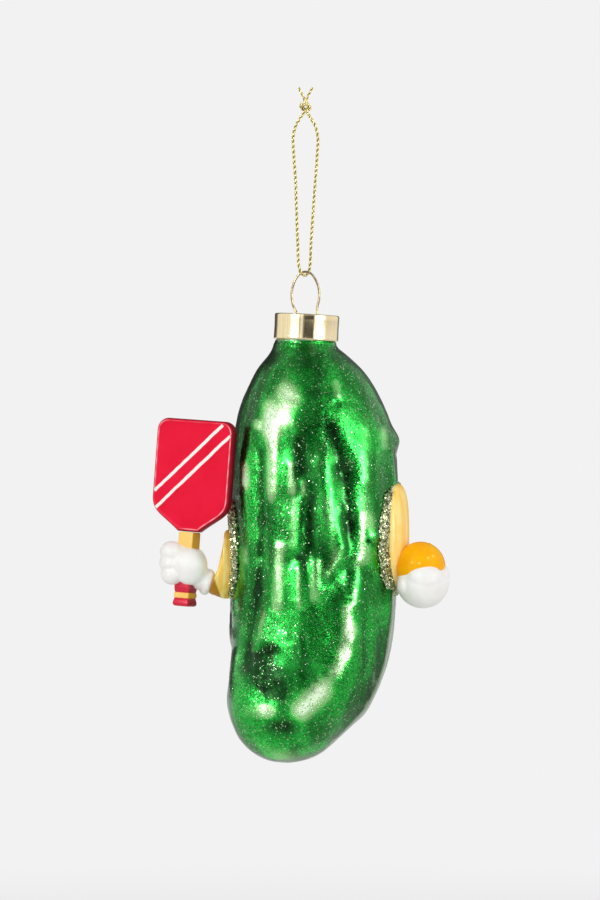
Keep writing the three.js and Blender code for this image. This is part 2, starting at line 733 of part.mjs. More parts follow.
const ornament = new THREE.Group();
ornament.add(
  mesh('hang_cord', cordGeometry(), colours.cord),
  mesh('cord_knot', knotGeometry(), colours.cord),
  mesh('wire_eye', wireGeometry(), colours.wire),
  mesh('glass_body', glassBodyGeometry(), colours.glass),
  mesh('right_arm', rightArmGeometry(), colours.yellow),
  mesh('right_glitter_bead', rightBeadGeometry(), colours.glitter),
  mesh('right_glove', rightGloveGeometry(), colours.glove),
  mesh('ball', geometryOf(ballSolid(0)), colours.ball),
  mesh('left_arm', leftArmGeometry(), colours.yellow),
  mesh('left_glitter_bead', leftBeadGeometry(), colours.glitter),
  mesh('left_glove', leftGloveGeometry(), colours.glove),
);

const cap = new THREE.Group();
cap.position.copy(capTop);
cap.quaternion.setFromUnitVectors(up, capAxis);
cap.add(mesh('cap', capGeometry(), colours.gold));
ornament.add(cap);

paddle.add(
  mesh('paddle_blade', bladeGeometry(), colours.red),
  mesh('paddle_handle', handleGeometry(), colours.yellow),
  mesh('paddle_grip', gripGeometry(), colours.red),
  mesh('grip_band', bandGeometry(), colours.yellow),
);
ornament.add(paddle);

export default ornament;
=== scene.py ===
import math
import random

import bmesh
import bpy
import numpy as np
from mathutils import Matrix, Vector
from mathutils.kdtree import KDTree


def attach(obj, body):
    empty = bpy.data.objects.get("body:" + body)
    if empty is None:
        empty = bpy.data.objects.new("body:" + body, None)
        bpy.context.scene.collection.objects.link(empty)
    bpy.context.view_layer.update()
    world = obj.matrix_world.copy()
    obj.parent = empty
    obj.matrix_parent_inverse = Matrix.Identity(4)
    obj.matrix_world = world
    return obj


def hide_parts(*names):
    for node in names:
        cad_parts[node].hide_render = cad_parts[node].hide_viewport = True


# Blown-glass pickle ornament on a gold cord. Metres, +Z up, seen from the front along +Y.
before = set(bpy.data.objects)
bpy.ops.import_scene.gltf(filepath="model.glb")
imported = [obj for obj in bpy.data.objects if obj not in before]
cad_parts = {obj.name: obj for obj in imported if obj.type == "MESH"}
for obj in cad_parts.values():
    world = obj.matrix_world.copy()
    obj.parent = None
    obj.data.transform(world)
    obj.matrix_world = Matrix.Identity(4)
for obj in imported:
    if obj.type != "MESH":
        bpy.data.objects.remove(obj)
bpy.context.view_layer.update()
mm = 0.001
print("frame loaded:", len(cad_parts), "nodes")


def linear(hexColour, alpha=1.0):
    # sRGB hex to the linear colour that Blender's sockets take
    parts = [int(hexColour[i:i + 2], 16) / 255 for i in (0, 2, 4)]
    return tuple(p / 12.92 if p <= 0.04045 else ((p + 0.055) / 1.055) ** 2.4 for p in parts) + (alpha,)


def addNode(tree, kind, settings=None, links=None):
    # one node with its settings and links; "stops" fills a colour ramp
    node = tree.nodes.new(kind)
    for key, value in (settings or {}).items():
        if key == "stops":
            ramp = node.color_ramp
            while len(ramp.elements) < len(value):
                ramp.elements.new(0.5)
            for element, (place, colour) in zip(ramp.elements, value):
                element.position = place
                element.color = linear(colour) if isinstance(colour, str) else (colour,) * 3 + (1,)
        elif isinstance(key, int) or key in node.inputs.keys():
            node.inputs[key].default_value = value
        else:
            setattr(node, key, value)
    for key, source in (links or {}).items():
        tree.links.new(source.outputs[0] if hasattr(source, "outputs") else source, node.inputs[key])
    return node


def newMaterial(name, settings):
    # a material with its shader set and wired to the output, and its object coordinates
    material = bpy.data.materials.new(name)
    material.use_nodes = True
    tree = material.node_tree
    tree.nodes.clear()
    shader = addNode(tree, "ShaderNodeBsdfPrincipled", settings)
    addNode(tree, "ShaderNodeOutputMaterial", links={"Surface": shader})
    coords = addNode(tree, "ShaderNodeTexCoord")
    return material, tree, shader, coords.outputs["Object"]


def meshPiece(name, points, faces, material, body, replaced=(), place=None, sharpAngle=None):
    # a piece from points in millimetres; it rides a body and may stand for CAD nodes
    mesh = bpy.data.meshes.new(name)
    mesh.from_pydata([tuple(p) for p in np.asarray(points, float) * mm], [], [tuple(f) for f in faces])
    mesh.validate()
    return finishPiece(name, mesh, material, body, replaced, place, sharpAngle)


def finishPiece(name, mesh, material, body, replaced=(), place=None, sharpAngle=None):
    # smooth shading, its material, body and slot, and sharp edges where the angle asks for them
    mesh.shade_smooth()
    if sharpAngle:
        mesh.set_sharp_from_angle(angle=math.radians(sharpAngle))
    mesh.materials.clear()
    mesh.materials.append(material)
    piece = bpy.data.objects.new(name, mesh)
    bpy.context.scene.collection.objects.link(piece)
    if place is not None:
        piece.matrix_world = place
    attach(piece, body)
    if replaced:
        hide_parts(*replaced)
    return piece


def gridFaces(rows, sides, start=0):
    # quads between rings of points, outside when the rings run down and turn from above clockwise
    faces = []
    for r in range(rows - 1):
        for s in range(sides):
            a, b = start + r * sides + s, start + r * sides + (s + 1) % sides
            faces.append((a, b, b + sides, a + sides))
    return faces


def turnedOutwards(points, faces):
    # a mesh from points in millimetres, with every face looking outwards
    mesh = bpy.data.meshes.new("work")
    mesh.from_pydata([tuple(p) for p in np.asarray(points, float) * mm], [], [tuple(f) for f in faces])
    work = bmesh.new()
    work.from_mesh(mesh)
    bmesh.ops.remove_doubles(work, verts=work.verts, dist=1e-7)
    bmesh.ops.recalc_face_normals(work, faces=work.faces)
    work.to_mesh(mesh)
    work.free()
    return mesh


def ringSolid(rings):
    # a solid from rings with the same number of points each, closed at both ends
    count = len(rings[0])
    points = np.concatenate([np.array(ring) for ring in rings])
    ends = [tuple(range(count)), tuple(range(len(points) - count, len(points)))]
    return turnedOutwards(points, gridFaces(len(rings), count) + ends)


def smoothLine(points, steps):
    # centripetal Catmull-Rom through the points, as the CAD source draws it
    p = [np.array(q, float) for q in points]
    last, out = len(p) - 1, []
    for k in range(steps + 1):
        at = last * k / steps
        i = min(int(at), last - 1)
        w = at - i
        a = p[i - 1] if i else 2 * p[0] - p[1]
        d = p[i + 2] if i + 2 <= last else 2 * p[last] - p[last - 1]
        b, c = p[i], p[i + 1]
        ab, bc, cd = (max(np.dot(u, u) ** 0.25, 1e-4) for u in (b - a, c - b, d - c))
        t1 = ((b - a) / ab - (c - a) / (ab + bc) + (c - b) / bc) * bc
        t2 = ((c - b) / bc - (d - b) / (bc + cd) + (d - c) / cd) * bc
        out.append(b + t1 * w + (3 * (c - b) - 2 * t1 - t2) * w ** 2 + (2 * (b - c) + t1 + t2) * w ** 3)
    return np.array(out)


def tube(line, radius, sides, turn=0.0, offset=0.0, phase=0.0):
    # a round tube with closed ends along a line; offset and turn wind it round the line like a ply
    line = np.asarray(line, float)
    tangent = np.gradient(line, axis=0)
    tangent /= np.linalg.norm(tangent, axis=1)[:, None]
    travelled = np.concatenate([[0], np.cumsum(np.linalg.norm(np.diff(line, axis=0), axis=1))])
    normal = np.zeros_like(line)
    start = np.cross(tangent[0], (0.3, 1, 0.2))
    normal[0] = start / np.linalg.norm(start)
    for i in range(1, len(line)):
        n = normal[i - 1] - tangent[i] * np.dot(normal[i - 1], tangent[i])
        normal[i] = n / np.linalg.norm(n)
    across = np.cross(tangent, normal)
    wind = (phase + travelled * turn)[:, None]
    middle = line + offset * (np.cos(wind) * normal + np.sin(wind) * across)
    radii = np.broadcast_to(np.asarray(radius, float), (len(line),)).copy()
    points = []
    for i in range(len(line)):
        for s in range(sides):
            angle = 2 * math.pi * s / sides
            points.append(middle[i] + radii[i] * (math.cos(angle) * normal[i] + math.sin(angle) * across[i]))
    faces = gridFaces(len(line), sides)
    points += [middle[0] - tangent[0] * radii[0] * 0.6, middle[-1] + tangent[-1] * radii[-1] * 0.6]
    n = len(line) * sides
    for s in range(sides):
        faces.append((n, (s + 1) % sides, s))
        faces.append((n + 1, n - sides + s, n - sides + (s + 1) % sides))
    return points, faces


def joined(*shells):
    # several point and face lists as one
    points, faces = [], []
    for shellPoints, shellFaces in shells:
        base = len(points)
        points += [np.asarray(p, float) for p in shellPoints]
        faces += [tuple(base + i for i in f) for f in shellFaces]
    return points, faces


def ease(x, start, end):
    # nought to one between start and end, soft at both
    t = np.clip((x - start) / (end - start), 0, 1)
    return t * t * (3 - 2 * t)


camera = {
    "distance": 1.5,                     # metres in front of the object
    "middle": (-1.43, -87.88),           # x and z in millimetres at the middle of the picture
    "pictureHeight": 234.0,              # millimetres that the picture's height takes in
}
cameraData = bpy.data.cameras.new("camera")
cameraData.lens = 36 * camera["distance"] / (camera["pictureHeight"] * mm)
cameraData.clip_start, cameraData.clip_end = 0.05, 50
cameraObject = bpy.data.objects.new("camera", cameraData)
cameraObject.location = (camera["middle"][0] * mm, -camera["distance"], camera["middle"][1] * mm)
cameraObject.rotation_euler = (math.radians(90), 0, 0)
bpy.context.scene.collection.objects.link(cameraObject)
bpy.context.scene.camera = cameraObject
print("camera placed")


cord = {
    "diameter": 0.8,                     # two plies
    "drop": 42.55,                       # hang point to the middle of the lowest turn
    "crossing": 1.35,                    # length between two crossings of the plies
    "plyRadius": 0.29,                   # share of the diameter, as is the next
    "plyOffset": 0.26,
    "plySides": 10,
    "step": 0.13,                        # length of one ring of a ply
    "groove": (0.42, 0.22),              # edge and bottom of the groove between the plies, as shares again
}
cordRoute = [
    (-0.5, 0, -0.35), (-1.35, 0, -1.6), (-2.5, -0.1, -3.6), (-3.2, -0.2, -6.5), (-3.05, -0.4, -11),
    (-2.6, -0.6, -17.5), (-2.35, -0.8, -25), (-2.05, -1.4, -33.5), (-1.7, -2.1, -cord["drop"] + 2.4),
    (-1.2, -1.7, -cord["drop"] + 0.7), (-0.25, 0, -cord["drop"]), (0.75, 1.6, -cord["drop"] + 0.7),
    (1.15, 2.0, -cord["drop"] + 2.4), (1.5, 1.35, -33.5), (2.05, 0.8, -25), (2.6, 0.6, -17.5),
    (3.05, 0.4, -11), (3.2, 0.2, -6.5), (2.5, 0.1, -3.6), (1.35, 0, -1.6), (0.5, 0, -0.35),
]


def evenly(line, step):
    # the same line with points an even step apart
    along = np.concatenate([[0], np.cumsum(np.linalg.norm(np.diff(line, axis=0), axis=1))])
    places = np.linspace(0, along[-1], max(int(along[-1] / step), 4))
    return np.stack([np.interp(places, along, line[:, k]) for k in range(3)], axis=1)


def twoPly(line, diameter):
    # two plies wound round each other along the line
    turn = math.pi / cord["crossing"]
    plies = [tube(line, diameter * cord["plyRadius"], cord["plySides"], turn,
                  diameter * cord["plyOffset"], phase)
             for phase in (0, math.pi)]
    return joined(*plies)


def markGaps(piece, lines, diameter):
    # how deep in the groove between the plies each point lies, for the shade painted there
    edge, bottom = cord["groove"]
    tree = KDTree(sum(len(line) for line in lines))
    for i, point in enumerate(point for line in lines for point in line):
        tree.insert(point, i)
    tree.balance()
    depth = [float(ease(-tree.find(vert.co / mm)[2] / diameter, -edge, -bottom))
             for vert in piece.data.vertices]
    piece.data.attributes.new("gap", "FLOAT", "POINT").data.foreach_set("value", depth)


# Lurex cord: metallised film wound on two plies, bright gold, with shade painted dark into the grooves
# between them
lurex, tree, shader, coords = newMaterial("lurex_twisted_cord", {
    "Metallic": 0.6, "Roughness": 0.38, "Specular IOR Level": 0.5})
threads = addNode(tree, "ShaderNodeTexVoronoi", {"feature": "F1", "Scale": 1000 / 0.16}, {"Vector": coords})
threadTint = addNode(tree, "ShaderNodeValToRGB", {"stops": [(0, "c2a448"), (0.4, "ecd98a"), (1, "fff5cc")]},
                     {"Fac": threads.outputs["Color"]})
# painted shade: dark olive in the groove between the plies
gap = addNode(tree, "ShaderNodeAttribute", {"attribute_name": "gap"})
gapTint = addNode(tree, "ShaderNodeMix", {"data_type": "RGBA", "B": linear("5a5220")},
                  {"Factor": gap.outputs["Fac"], "A": threadTint.outputs["Color"]})
tree.links.new(gapTint.outputs["Result"], shader.inputs["Base Color"])
threadBump = addNode(tree, "ShaderNodeBump", {"Strength": 0.35, "Distance": 0.00006},
                     {"Height": threads.outputs["Distance"]})
tree.links.new(threadBump.outputs["Normal"], shader.inputs["Normal"])

cordLine = evenly(smoothLine(cordRoute, 400), cord["step"])
points, faces = twoPly(cordLine, cord["diameter"])
cordPiece = meshPiece("cord_loop", points, faces, lurex, "hanger", ["hang_cord"])
markGaps(cordPiece, [cordLine], cord["diameter"])

# Overhand knot in both ends together, then two cut ends
knot = {
    "bottom": -0.25,
    "thin": 0.7,                         # the cord is drawn thinner inside the knot
    "apart": 0.33,
    "tailTop": 6.35,
    "tailSpread": 1.75,
}
knotRoute = [
    (0, 0, -0.1), (0.15, -0.2, 0.35), (0.75, -0.55, 1.0), (0.55, -0.85, 1.9), (-0.35, -0.75, 2.35),
    (-0.95, -0.1, 1.9), (-0.75, 0.65, 1.15), (0.1, 0.85, 0.75), (0.85, 0.4, 1.1), (0.75, -0.25, 1.75),
    (0.1, -0.1, 2.3), (0, 0.1, 3.0), (0, 0.05, 3.5),
]
shells, knotLines = [], []
for side in (-1, 1):
    route = [(x + side * knot["apart"], y, z + knot["bottom"] + 0.1) for x, y, z in knotRoute]
    route[0] = (side * 0.5, 0, -0.35)
    top = knot["tailTop"]
    route += [(side * 0.75, side * 0.15, 4.4), (side * 1.35, side * 0.25, 5.4),
              (side * knot["tailSpread"], side * 0.3, top)]
    knotLines.append(evenly(smoothLine(route, 260), cord["step"]))
    shells.append(twoPly(knotLines[-1], knot["thin"]))
points, faces = joined(*shells)
knotPiece = meshPiece("cord_knot_tied", points, faces, lurex, "hanger", ["cord_knot"])
markGaps(knotPiece, knotLines, knot["thin"])


studio = {
    "backdrop": "f2f2f2",
    "floorHeight": -215.0,               # mm, under the hanging ornament
    "ambient": 0.58,                     # what the room gives a matt surface
    "floorShine": 0.8,                   # what a mirror shows of the floor
    "aim": (0, 0, -0.115),
}
# What a mirror shows of the room: degrees round from the camera, positive to the right, and radiance
roomRound = [(-180, 0.15), (-150, 0.06), (-133, 0.2), (-126, 0.95), (-70, 1.0), (-30, 0.95), (-27, 0.2),
             (-24, 0.5), (-15, 0.5), (-10, 0.05), (25, 0.05), (32, 0.7), (72, 0.95), (140, 0.95), (152, 0.2),
             (180, 0.2)]
# and its share by degrees above the horizon
roomHeight = [(-90, 0.4), (-10, 0.8), (0, 0.95), (20, 1.0), (45, 0.8), (90, 0.5)]
# The lit cloths, brightest in the middle: share by degrees round, and radiance by degrees up
cloths = {
    "left": ([(-61, 0), (-53, 1), (-31, 1), (-26, 0)], [(-14, 0), (0, 1.0), (10, 2.6), (23, 8),
                                                        (32, 3), (42, 0)]),
    "strip": ([(-25, 0), (-22, 1), (-16, 1), (-11, 0)], [(-14, 0), (0, 0.5), (30, 1.6), (62, 0)]),
    "right": ([(26, 0), (37, 1), (60, 1), (71, 0)], [(-14, 0), (-4, 2.5), (2, 3.6), (8, 2.2),
                                                     (24, 1.6), (38, 0)]),
    "front": ([(-14, 0), (-9, 1), (25, 1), (31, 0)], [(-60, 0.2), (-9, 0.35), (-4, 0), (5, 0), (11, 0.4),
                                                      (60, 0.3)]),
    "left_lamp": ([(-51, 0), (-46, 1), (-38, 1), (-33, 0)], [(12, 0), (18, 20), (25, 20), (32, 0)]),
    "right_lamp": ([(38, 0), (44, 1), (52, 1), (58, 0)], [(-9, 0), (-4, 13), (7, 13), (15, 0)]),
}
# Lights that act on matt colour only, where the cloths stand
washes = {
    # azimuth and elevation in degrees, distance and size in metres, radiance
    "left_wash": (-42, 24, 1.3, (0.66, 1.1), 2.5),
    "right_wash": (50, 22, 1.3, (0.8, 1.1), 2.0),
    "back_wash": (180, 35, 1.8, (2.2, 1.4), 0.7),
}
for name, (azimuth, elevation, distance, size, radiance) in washes.items():
    data = bpy.data.lights.new(name, "AREA")
    data.shape = "RECTANGLE"
    data.size, data.size_y = size
    data.energy = radiance * math.pi * size[0] * size[1]
    panel = bpy.data.objects.new(name, data)
    turned, raised = math.radians(azimuth), math.radians(elevation)
    away = Vector((math.sin(turned) * math.cos(raised), -math.cos(turned) * math.cos(raised),
                   math.sin(raised)))
    panel.location = Vector(studio["aim"]) + away * distance
    panel.rotation_euler = away.to_track_quat("Z", "Y").to_euler()
    panel.visible_camera = panel.visible_glossy = False
    bpy.context.scene.collection.objects.link(panel)

world = bpy.data.worlds.new("studio")
bpy.context.scene.world = world
world.use_nodes = True
world.cycles.sampling_method = "NONE"    # an even room needs no light map
tree = world.node_tree
tree.nodes.clear()
direction = addNode(tree, "ShaderNodeTexCoord").outputs["Generated"]
axes = addNode(tree, "ShaderNodeSeparateXYZ", links={0: direction})
forward = addNode(tree, "ShaderNodeMath", {"operation": "MULTIPLY", 1: -1.0}, {0: axes.outputs["Y"]})
azimuth = addNode(tree, "ShaderNodeMath", {"operation": "ARCTAN2"}, {0: axes.outputs["X"], 1: forward})
roundShare = addNode(tree, "ShaderNodeMapRange", {"From Min": -math.pi, "From Max": math.pi},
                     {"Value": azimuth})
elevation = addNode(tree, "ShaderNodeMath", {"operation": "ARCSINE"}, {0: axes.outputs["Z"]})
heightShare = addNode(tree, "ShaderNodeMapRange", {"From Min": -math.pi / 2, "From Max": math.pi / 2},
                      {"Value": elevation})
seenSide = None
for roundStops, heightStops in [(roomRound, roomHeight)] + list(cloths.values()):
    # ramps hold numbers up to one, so the height ramp is written as a share of its peak
    peak = max(v for _, v in heightStops)
    across = addNode(tree, "ShaderNodeValToRGB", {"stops": [(d / 360 + 0.5, v) for d, v in roundStops]},
                     {"Fac": roundShare.outputs["Result"]})
    up = addNode(tree, "ShaderNodeValToRGB", {"stops": [(d / 180 + 0.5, v / peak) for d, v in heightStops]},
                 {"Fac": heightShare.outputs["Result"]})
    up.color_ramp.interpolation = "EASE"
    both = addNode(tree, "ShaderNodeVectorMath", {"operation": "MULTIPLY"}, {0: across, 1: up})
    lit = addNode(tree, "ShaderNodeVectorMath", {"operation": "SCALE", "Scale": float(peak)}, {0: both})
    seenSide = lit if seenSide is None else addNode(tree, "ShaderNodeVectorMath", {"operation": "ADD"},
                                                    {0: seenSide, 1: lit})
path = addNode(tree, "ShaderNodeLightPath")
mirrored = addNode(tree, "ShaderNodeMath", {"operation": "MAXIMUM"},
                   {0: path.outputs["Is Glossy Ray"], 1: path.outputs["Is Transmission Ray"]})
matt = addNode(tree, "ShaderNodeMix", {"data_type": "RGBA", "A": (studio["ambient"],) * 3 + (1,)},
               {"Factor": mirrored, "B": seenSide.outputs["Vector"]})
shown = addNode(tree, "ShaderNodeMix", {"data_type": "RGBA", "B": linear(studio["backdrop"])},
                {"Factor": path.outputs["Is Camera Ray"], "A": matt.outputs["Result"]})
background = addNode(tree, "ShaderNodeBackground", {"Strength": 1.0}, {"Color": shown.outputs["Result"]})
addNode(tree, "ShaderNodeOutputWorld", links={"Surface": background})


# Matt paper floor: it takes a soft shadow near the ornament and is the backdrop's own pale tone elsewhere
paper = bpy.data.materials.new("matt_backdrop_paper")
paper.use_nodes = True
tree = paper.node_tree
tree.nodes.clear()
coords = addNode(tree, "ShaderNodeTexCoord").outputs["Object"]
reach = addNode(tree, "ShaderNodeVectorMath", {"operation": "LENGTH"}, {0: coords})
nearObject = addNode(tree, "ShaderNodeMapRange", {
    "interpolation_type": "SMOOTHSTEP", "From Min": 0.08, "From Max": 0.3, "To Min": 0.55, "To Max": 1.0},
                     {"Value": reach.outputs["Value"]})
path = addNode(tree, "ShaderNodeLightPath")
seen = addNode(tree, "ShaderNodeMath", {"operation": "MAXIMUM"},
               {0: path.outputs["Is Camera Ray"], 1: path.outputs["Is Glossy Ray"]})
seenToo = addNode(tree, "ShaderNodeMath", {"operation": "MAXIMUM"},
                  {0: seen, 1: path.outputs["Is Transmission Ray"]})
share = addNode(tree, "ShaderNodeMath", {"operation": "MULTIPLY"}, {0: seenToo, 1: nearObject})
diffuse = addNode(tree, "ShaderNodeBsdfDiffuse", {"Color": linear(studio["backdrop"])})
dimmer = addNode(tree, "ShaderNodeMapRange", {"To Min": 1.0, "To Max": studio["floorShine"]},
                 {"Value": path.outputs["Is Glossy Ray"]})
glow = addNode(tree, "ShaderNodeEmission", {"Color": linear(studio["backdrop"])},
               {"Strength": dimmer.outputs["Result"]})
mixed = addNode(tree, "ShaderNodeMixShader", links={0: share, 1: diffuse, 2: glow})
addNode(tree, "ShaderNodeOutputMaterial", links={"Surface": mixed})
floorMesh = bpy.data.meshes.new("floor")
floorMesh.from_pydata([(-4, -4, 0), (4, -4, 0), (4, 4, 0), (-4, 4, 0)], [], [(0, 1, 2, 3)])
floorMesh.materials.append(paper)
floor = bpy.data.objects.new("floor", floorMesh)
floor.location.z = studio["floorHeight"] * mm
bpy.context.scene.collection.objects.link(floor)
bpy.context.scene.view_settings.view_transform = "Standard"
print("studio lit")


capLip = np.array([0.0993, 0, -59.3408])    # mm, where the glass comes out from under the cap
capTilt = math.radians(3)
capAxis = np.array([math.sin(capTilt), 0, math.cos(capTilt)])

pickle = {
    "length": 109.4,                     # mm from the lip of the cap to the tip, as are the sizes below
    "radius": 21.5,
    "depthRatio": 0.94,                  # depth as a share of the width
    "neckRadius": 7.6,
    "neckTop": 5.9,
    "wall": 1.3,
    "nose": 12.2,                        # length of the rounded end
    "noseRoundness": 1.6,
    "nosePower": 0.55,
    "sides": 360,
    "rows": 330,
    "noseRows": 44,
    "level": (1, 4),                     # mm under the lip over which its rings turn level
    "bend": (0.4, 0.68),                 # shares of the length over which they turn with the centreline
    "blend": 50,                         # smoothing passes that take the kinks out of the centreline
    "blendTop": 0.12,                    # share of the rows that they leave alone at the top
    "blendTip": 0.4,                     # and of the rounded end's rows at the tip
    "tipRadius": 6,                      # the relief fades out where the glass is thinner than this
    "strokeHeight": 0.75,                # share of the stroke heights below
    "ridgeHeight": 0.7,
    "ridgeFade": 5.5,                    # mm over which a ridge rises at its ends
    "wave": 0.095,                       # height of the soft unevenness of blown glass, mm
    "ripple": 0.017,                     # height of the fine flow marks that break up its highlights
}
# share of the length, then radius, shift right and shift forwards as shares of the radius
stations = [
    (0.03, 0.451, 0.019, 0), (0.067, 0.628, 0.042, 0), (0.119, 0.786, 0.067, 0), (0.183, 0.916, 0.086, 0),
    (0.265, 0.977, 0.102, 0), (0.384, 1, 0.107, 0), (0.548, 0.986, 0.098, 0.014),
    (0.695, 0.967, 0.065, 0.051),
    (0.777, 0.93, -0.023, 0.112), (0.833, 0.842, -0.153, 0.177), (0.888, 0.716, -0.293, 0.242),
]
# Front: swellings and hollows drawn as short strokes from x, z to x, z in mm, half width and height
strokes = [
    (-3.2, -72.5, -7.4, -82.7, 5, 0.9),    # broad swelling on the left shoulder
    (-8.2, -81.4, -9, -98.3, 2.3, 0.8), (-14.7, -91, -13.9, -111.3, 2.3, 0.7),
    (-11.1, -88.4, -11.3, -115.4, 1.9, -0.8),    # long left groove, in three lengths
    (-11.3, -115.4, -12.3, -129.5, 2, -0.8), (-12.3, -129.5, -14.7, -140.4, 2, -0.8),
    (-3.5, -92, -3.5, -97.2, 1.7, 0.8), (-0.7, -96.5, -0.1, -98.8, 1.4, 0.6),
    (-3.5, -85.5, 2.7, -87.4, 4.2, -0.7),    # hollow in the middle
    (6.2, -83.2, 9.8, -94.1, 3.0, -0.8),    # right groove
    (9.8, -94.1, 10.8, -105.6, 2.6, -0.8), (11.3, -106.6, 11.6, -121.2, 1.9, -0.5),
    (4.4, -91, 5.6, -109.2, 3.0, 0.7), (-1.2, -101.4, -2, -113.4, 1.5, 0.5),
    (1.4, -100.9, 1.4, -112.6, 2, -0.5),
    (16, -82.7, 16, -100.9, 3.8, 0.8), (15, -106.6, 15.5, -115.4, 3, 0.7),
    (9.2, -103, 9.2, -112.6, 1.4, 0.4),
    (8.2, -73.1, 8.2, -73.3, 1.6, 0.8), (7.9, -75.9, 7.9, -76.2, 1, -0.4),    # nub with a pit under it
    (-12.6, -80.9, -12.6, -81.6, 1.6, 0.6), (20.2, -84.5, 20.2, -84.8, 2, 0.8),
    (17.8, -109.7, 17.8, -110.2, 1.5, 1),    # wart beside the right arm
    (-7.4, -113.4, -6.6, -126.8, 1.8, 0.7), (-1.7, -118.6, -1.4, -127, 1.5, 0.65),
    (2.2, -117, 2.7, -124.2, 1.5, 0.65), (5.6, -119.6, 9.8, -113.4, 1.8, 0.6),
    (-3.2, -115.7, 0.1, -117, 1.8, -0.6),
    (10, -119.6, 5.3, -127.4, 2.8, -0.6), (12.9, -116.5, 12.6, -126.9, 1.8, 0.5),
    # crescent
    (10.8, -129, 11.1, -136.2, 2.8, 1), (11.1, -136.2, 8, -146.5, 2.8, 1), (5.5, -152, 10.5, -144.5, 6, 1.3),
    (-11.1, -130, -12.9, -139.4, 2, 0.8), (-17, -126.9, -16.8, -130.5, 2, 0.7),
    # crease over the nose
    (-16.3, -143.8, -14.2, -141.7, 2.2, -0.35), (-14.2, -141.7, -7.7, -139.6, 2.0, -0.3),
    # nose and its blossom end
    (-8.5, -160, -4, -159.5, 7.5, 1.3), (0.5, -158.5, 6.5, -153.5, 5, 1.0),
    (-6.5, -159.5, -4, -159.5, 2.8, -0.8),
]
# Painted highlights and painted shade on the front, as strokes into the green: plus is pale, minus is deep
lacquerRuns = [
    (-11.2, -141.5, -8.5, -149, 3, -0.7), (-15.5, -93, -15.5, -96, 1.3, 0.4),
    (-8.6, -80, -8.8, -98, 1.6, 0.35),
    (-17.6, -141.2, -18.1, -145.6, 1, 0.5),
    (15.7, -108.6, 16.1, -111.3, 0.55, -0.9), (16.1, -111.3, 17.6, -112.4, 0.55, -0.9),    # round the wart
    (-9.8, -75.9, -9.8, -82.2, 2.1, 0.5), (-4.4, -81.1, -2.3, -82.9, 1.6, 0.4),
    (-4, -73.8, -8.2, -82.2, 3.1, 0.75), (-5.9, -72.8, -2.2, -75.1, 2.1, 0.45),
    (-8.7, -77.5, -9, -100.1, 1.6, 0.75), (-12.7, -80.6, -12.7, -81.9, 1, 0.6),
    (-16, -91.8, -16, -97, 1.3, 0.9), (-3.5, -91.3, -3.5, -98.3, 1.2, 0.9),
    (-0.4, -95.7, -0.4, -99.1, 1, 0.7), (7.9, -70.7, 8.2, -73.6, 1.3, 0.7),
    (20.2, -82.9, 20.4, -86.8, 1.3, 0.6), (3.2, -86.6, 4.3, -106.1, 2.3, 0.25),
    (15.7, -80.1, 15.7, -106.1, 2.6, 0.3), (9, -78.8, 11.1, -85.3, 1.8, 0.3),
    (-15.2, -95.7, -15, -126.9, 1.3, 0.25), (-16, -113.9, -15.7, -116.5, 1, 0.4),
    (-6.6, -112.6, -7.4, -128.2, 1.6, 0.8), (-3, -100.9, -3.2, -112.6, 1.3, 0.45),
    (-1.7, -117.8, -1.7, -128.2, 1, 0.6), (2.5, -116.5, 2.2, -125.6, 1.6, 0.65),
    (9.8, -113.4, 5.6, -119.6, 1.6, 0.45), (5.9, -100.9, 7.4, -115.2, 1.3, 0.35),
    (15.5, -106.1, 15.2, -116.5, 2.3, 0.65), (12.6, -116.5, 12.6, -126.9, 1.3, 0.45),
    (10.3, -128.4, 11.3, -134.2, 1.6, 0.9), (11.3, -134.2, 10, -139.9, 1.7, 1.1),
    (10, -139.9, 8, -144.2, 1.6, 0.8), (8, -144.2, 5.5, -147.5, 1.7, 0.45),
    (-1.2, -154.6, 3.8, -150, 2.8, 1.55), (-14.4, -155, -10, -155, 2.5, 0.45),
    (-10.4, -155, -9, -155.2, 1.8, 0.9), (-12.5, -163.5, -6, -167.5, 3, 0.3),
    (-6, -167.5, 4, -166.5, 3, 0.35),
    (-13, -147.5, -7, -150, 2.6, -0.6), (-17.6, -127.9, -17.6, -129, 1, 0.6),
    (-11.1, -130, -12.9, -139.4, 1.3, 0.6), (-4, -60.6, -5.6, -72.8, 1.8, 0.25),
    (1.7, -60.8, 2, -62.4, 1.8, 0.35),
    (-2, -85.3, -0.7, -93.6, 2.3, -0.7), (-0.1, -82.2, 5.9, -81.4, 2.1, -0.5),
    (6.9, -83.2, 9.8, -93.1, 2.1, -0.8), (9.8, -93.1, 11.6, -107.4, 1.8, -0.7),
    (11.3, -107.4, 11.3, -121.7, 1.3, -0.5), (-11.3, -88.4, -11.3, -106.1, 1.2, -0.8),
    (-11.3, -106.1, -12.3, -124.3, 1.2, -0.8), (-12.3, -124.3, -14.7, -141.2, 1.3, -0.8),
    (1.4, -100.1, 1.2, -113.9, 1.7, -0.7), (-1.4, -115.7, 0.1, -118, 1.4, -0.9),
    (8.5, -121.2, 9.2, -126.4, 1.6, -0.5), (-16.2, -144.6, -7.9, -138.8, 1.8, -0.6),
    (-7.8, -158.8, -4.6, -158.8, 2.5, -0.8), (-5.9, -145.6, -11.3, -143, 3.6, -0.5),
    (-6.1, -150.3, -5.9, -154.4, 1.8, -0.3), (-17.6, -82.7, -18.1, -106.1, 1, -0.5),
    (16.2, -119.1, 17.3, -126.9, 1.8, -0.4), (7.9, -61.9, 10.8, -70.2, 1.6, -0.35),
    (-0.1, -73.6, 0.7, -78.8, 1.8, -0.35), (-7.2, -60.6, -14.4, -78, 2.1, -0.4),
]
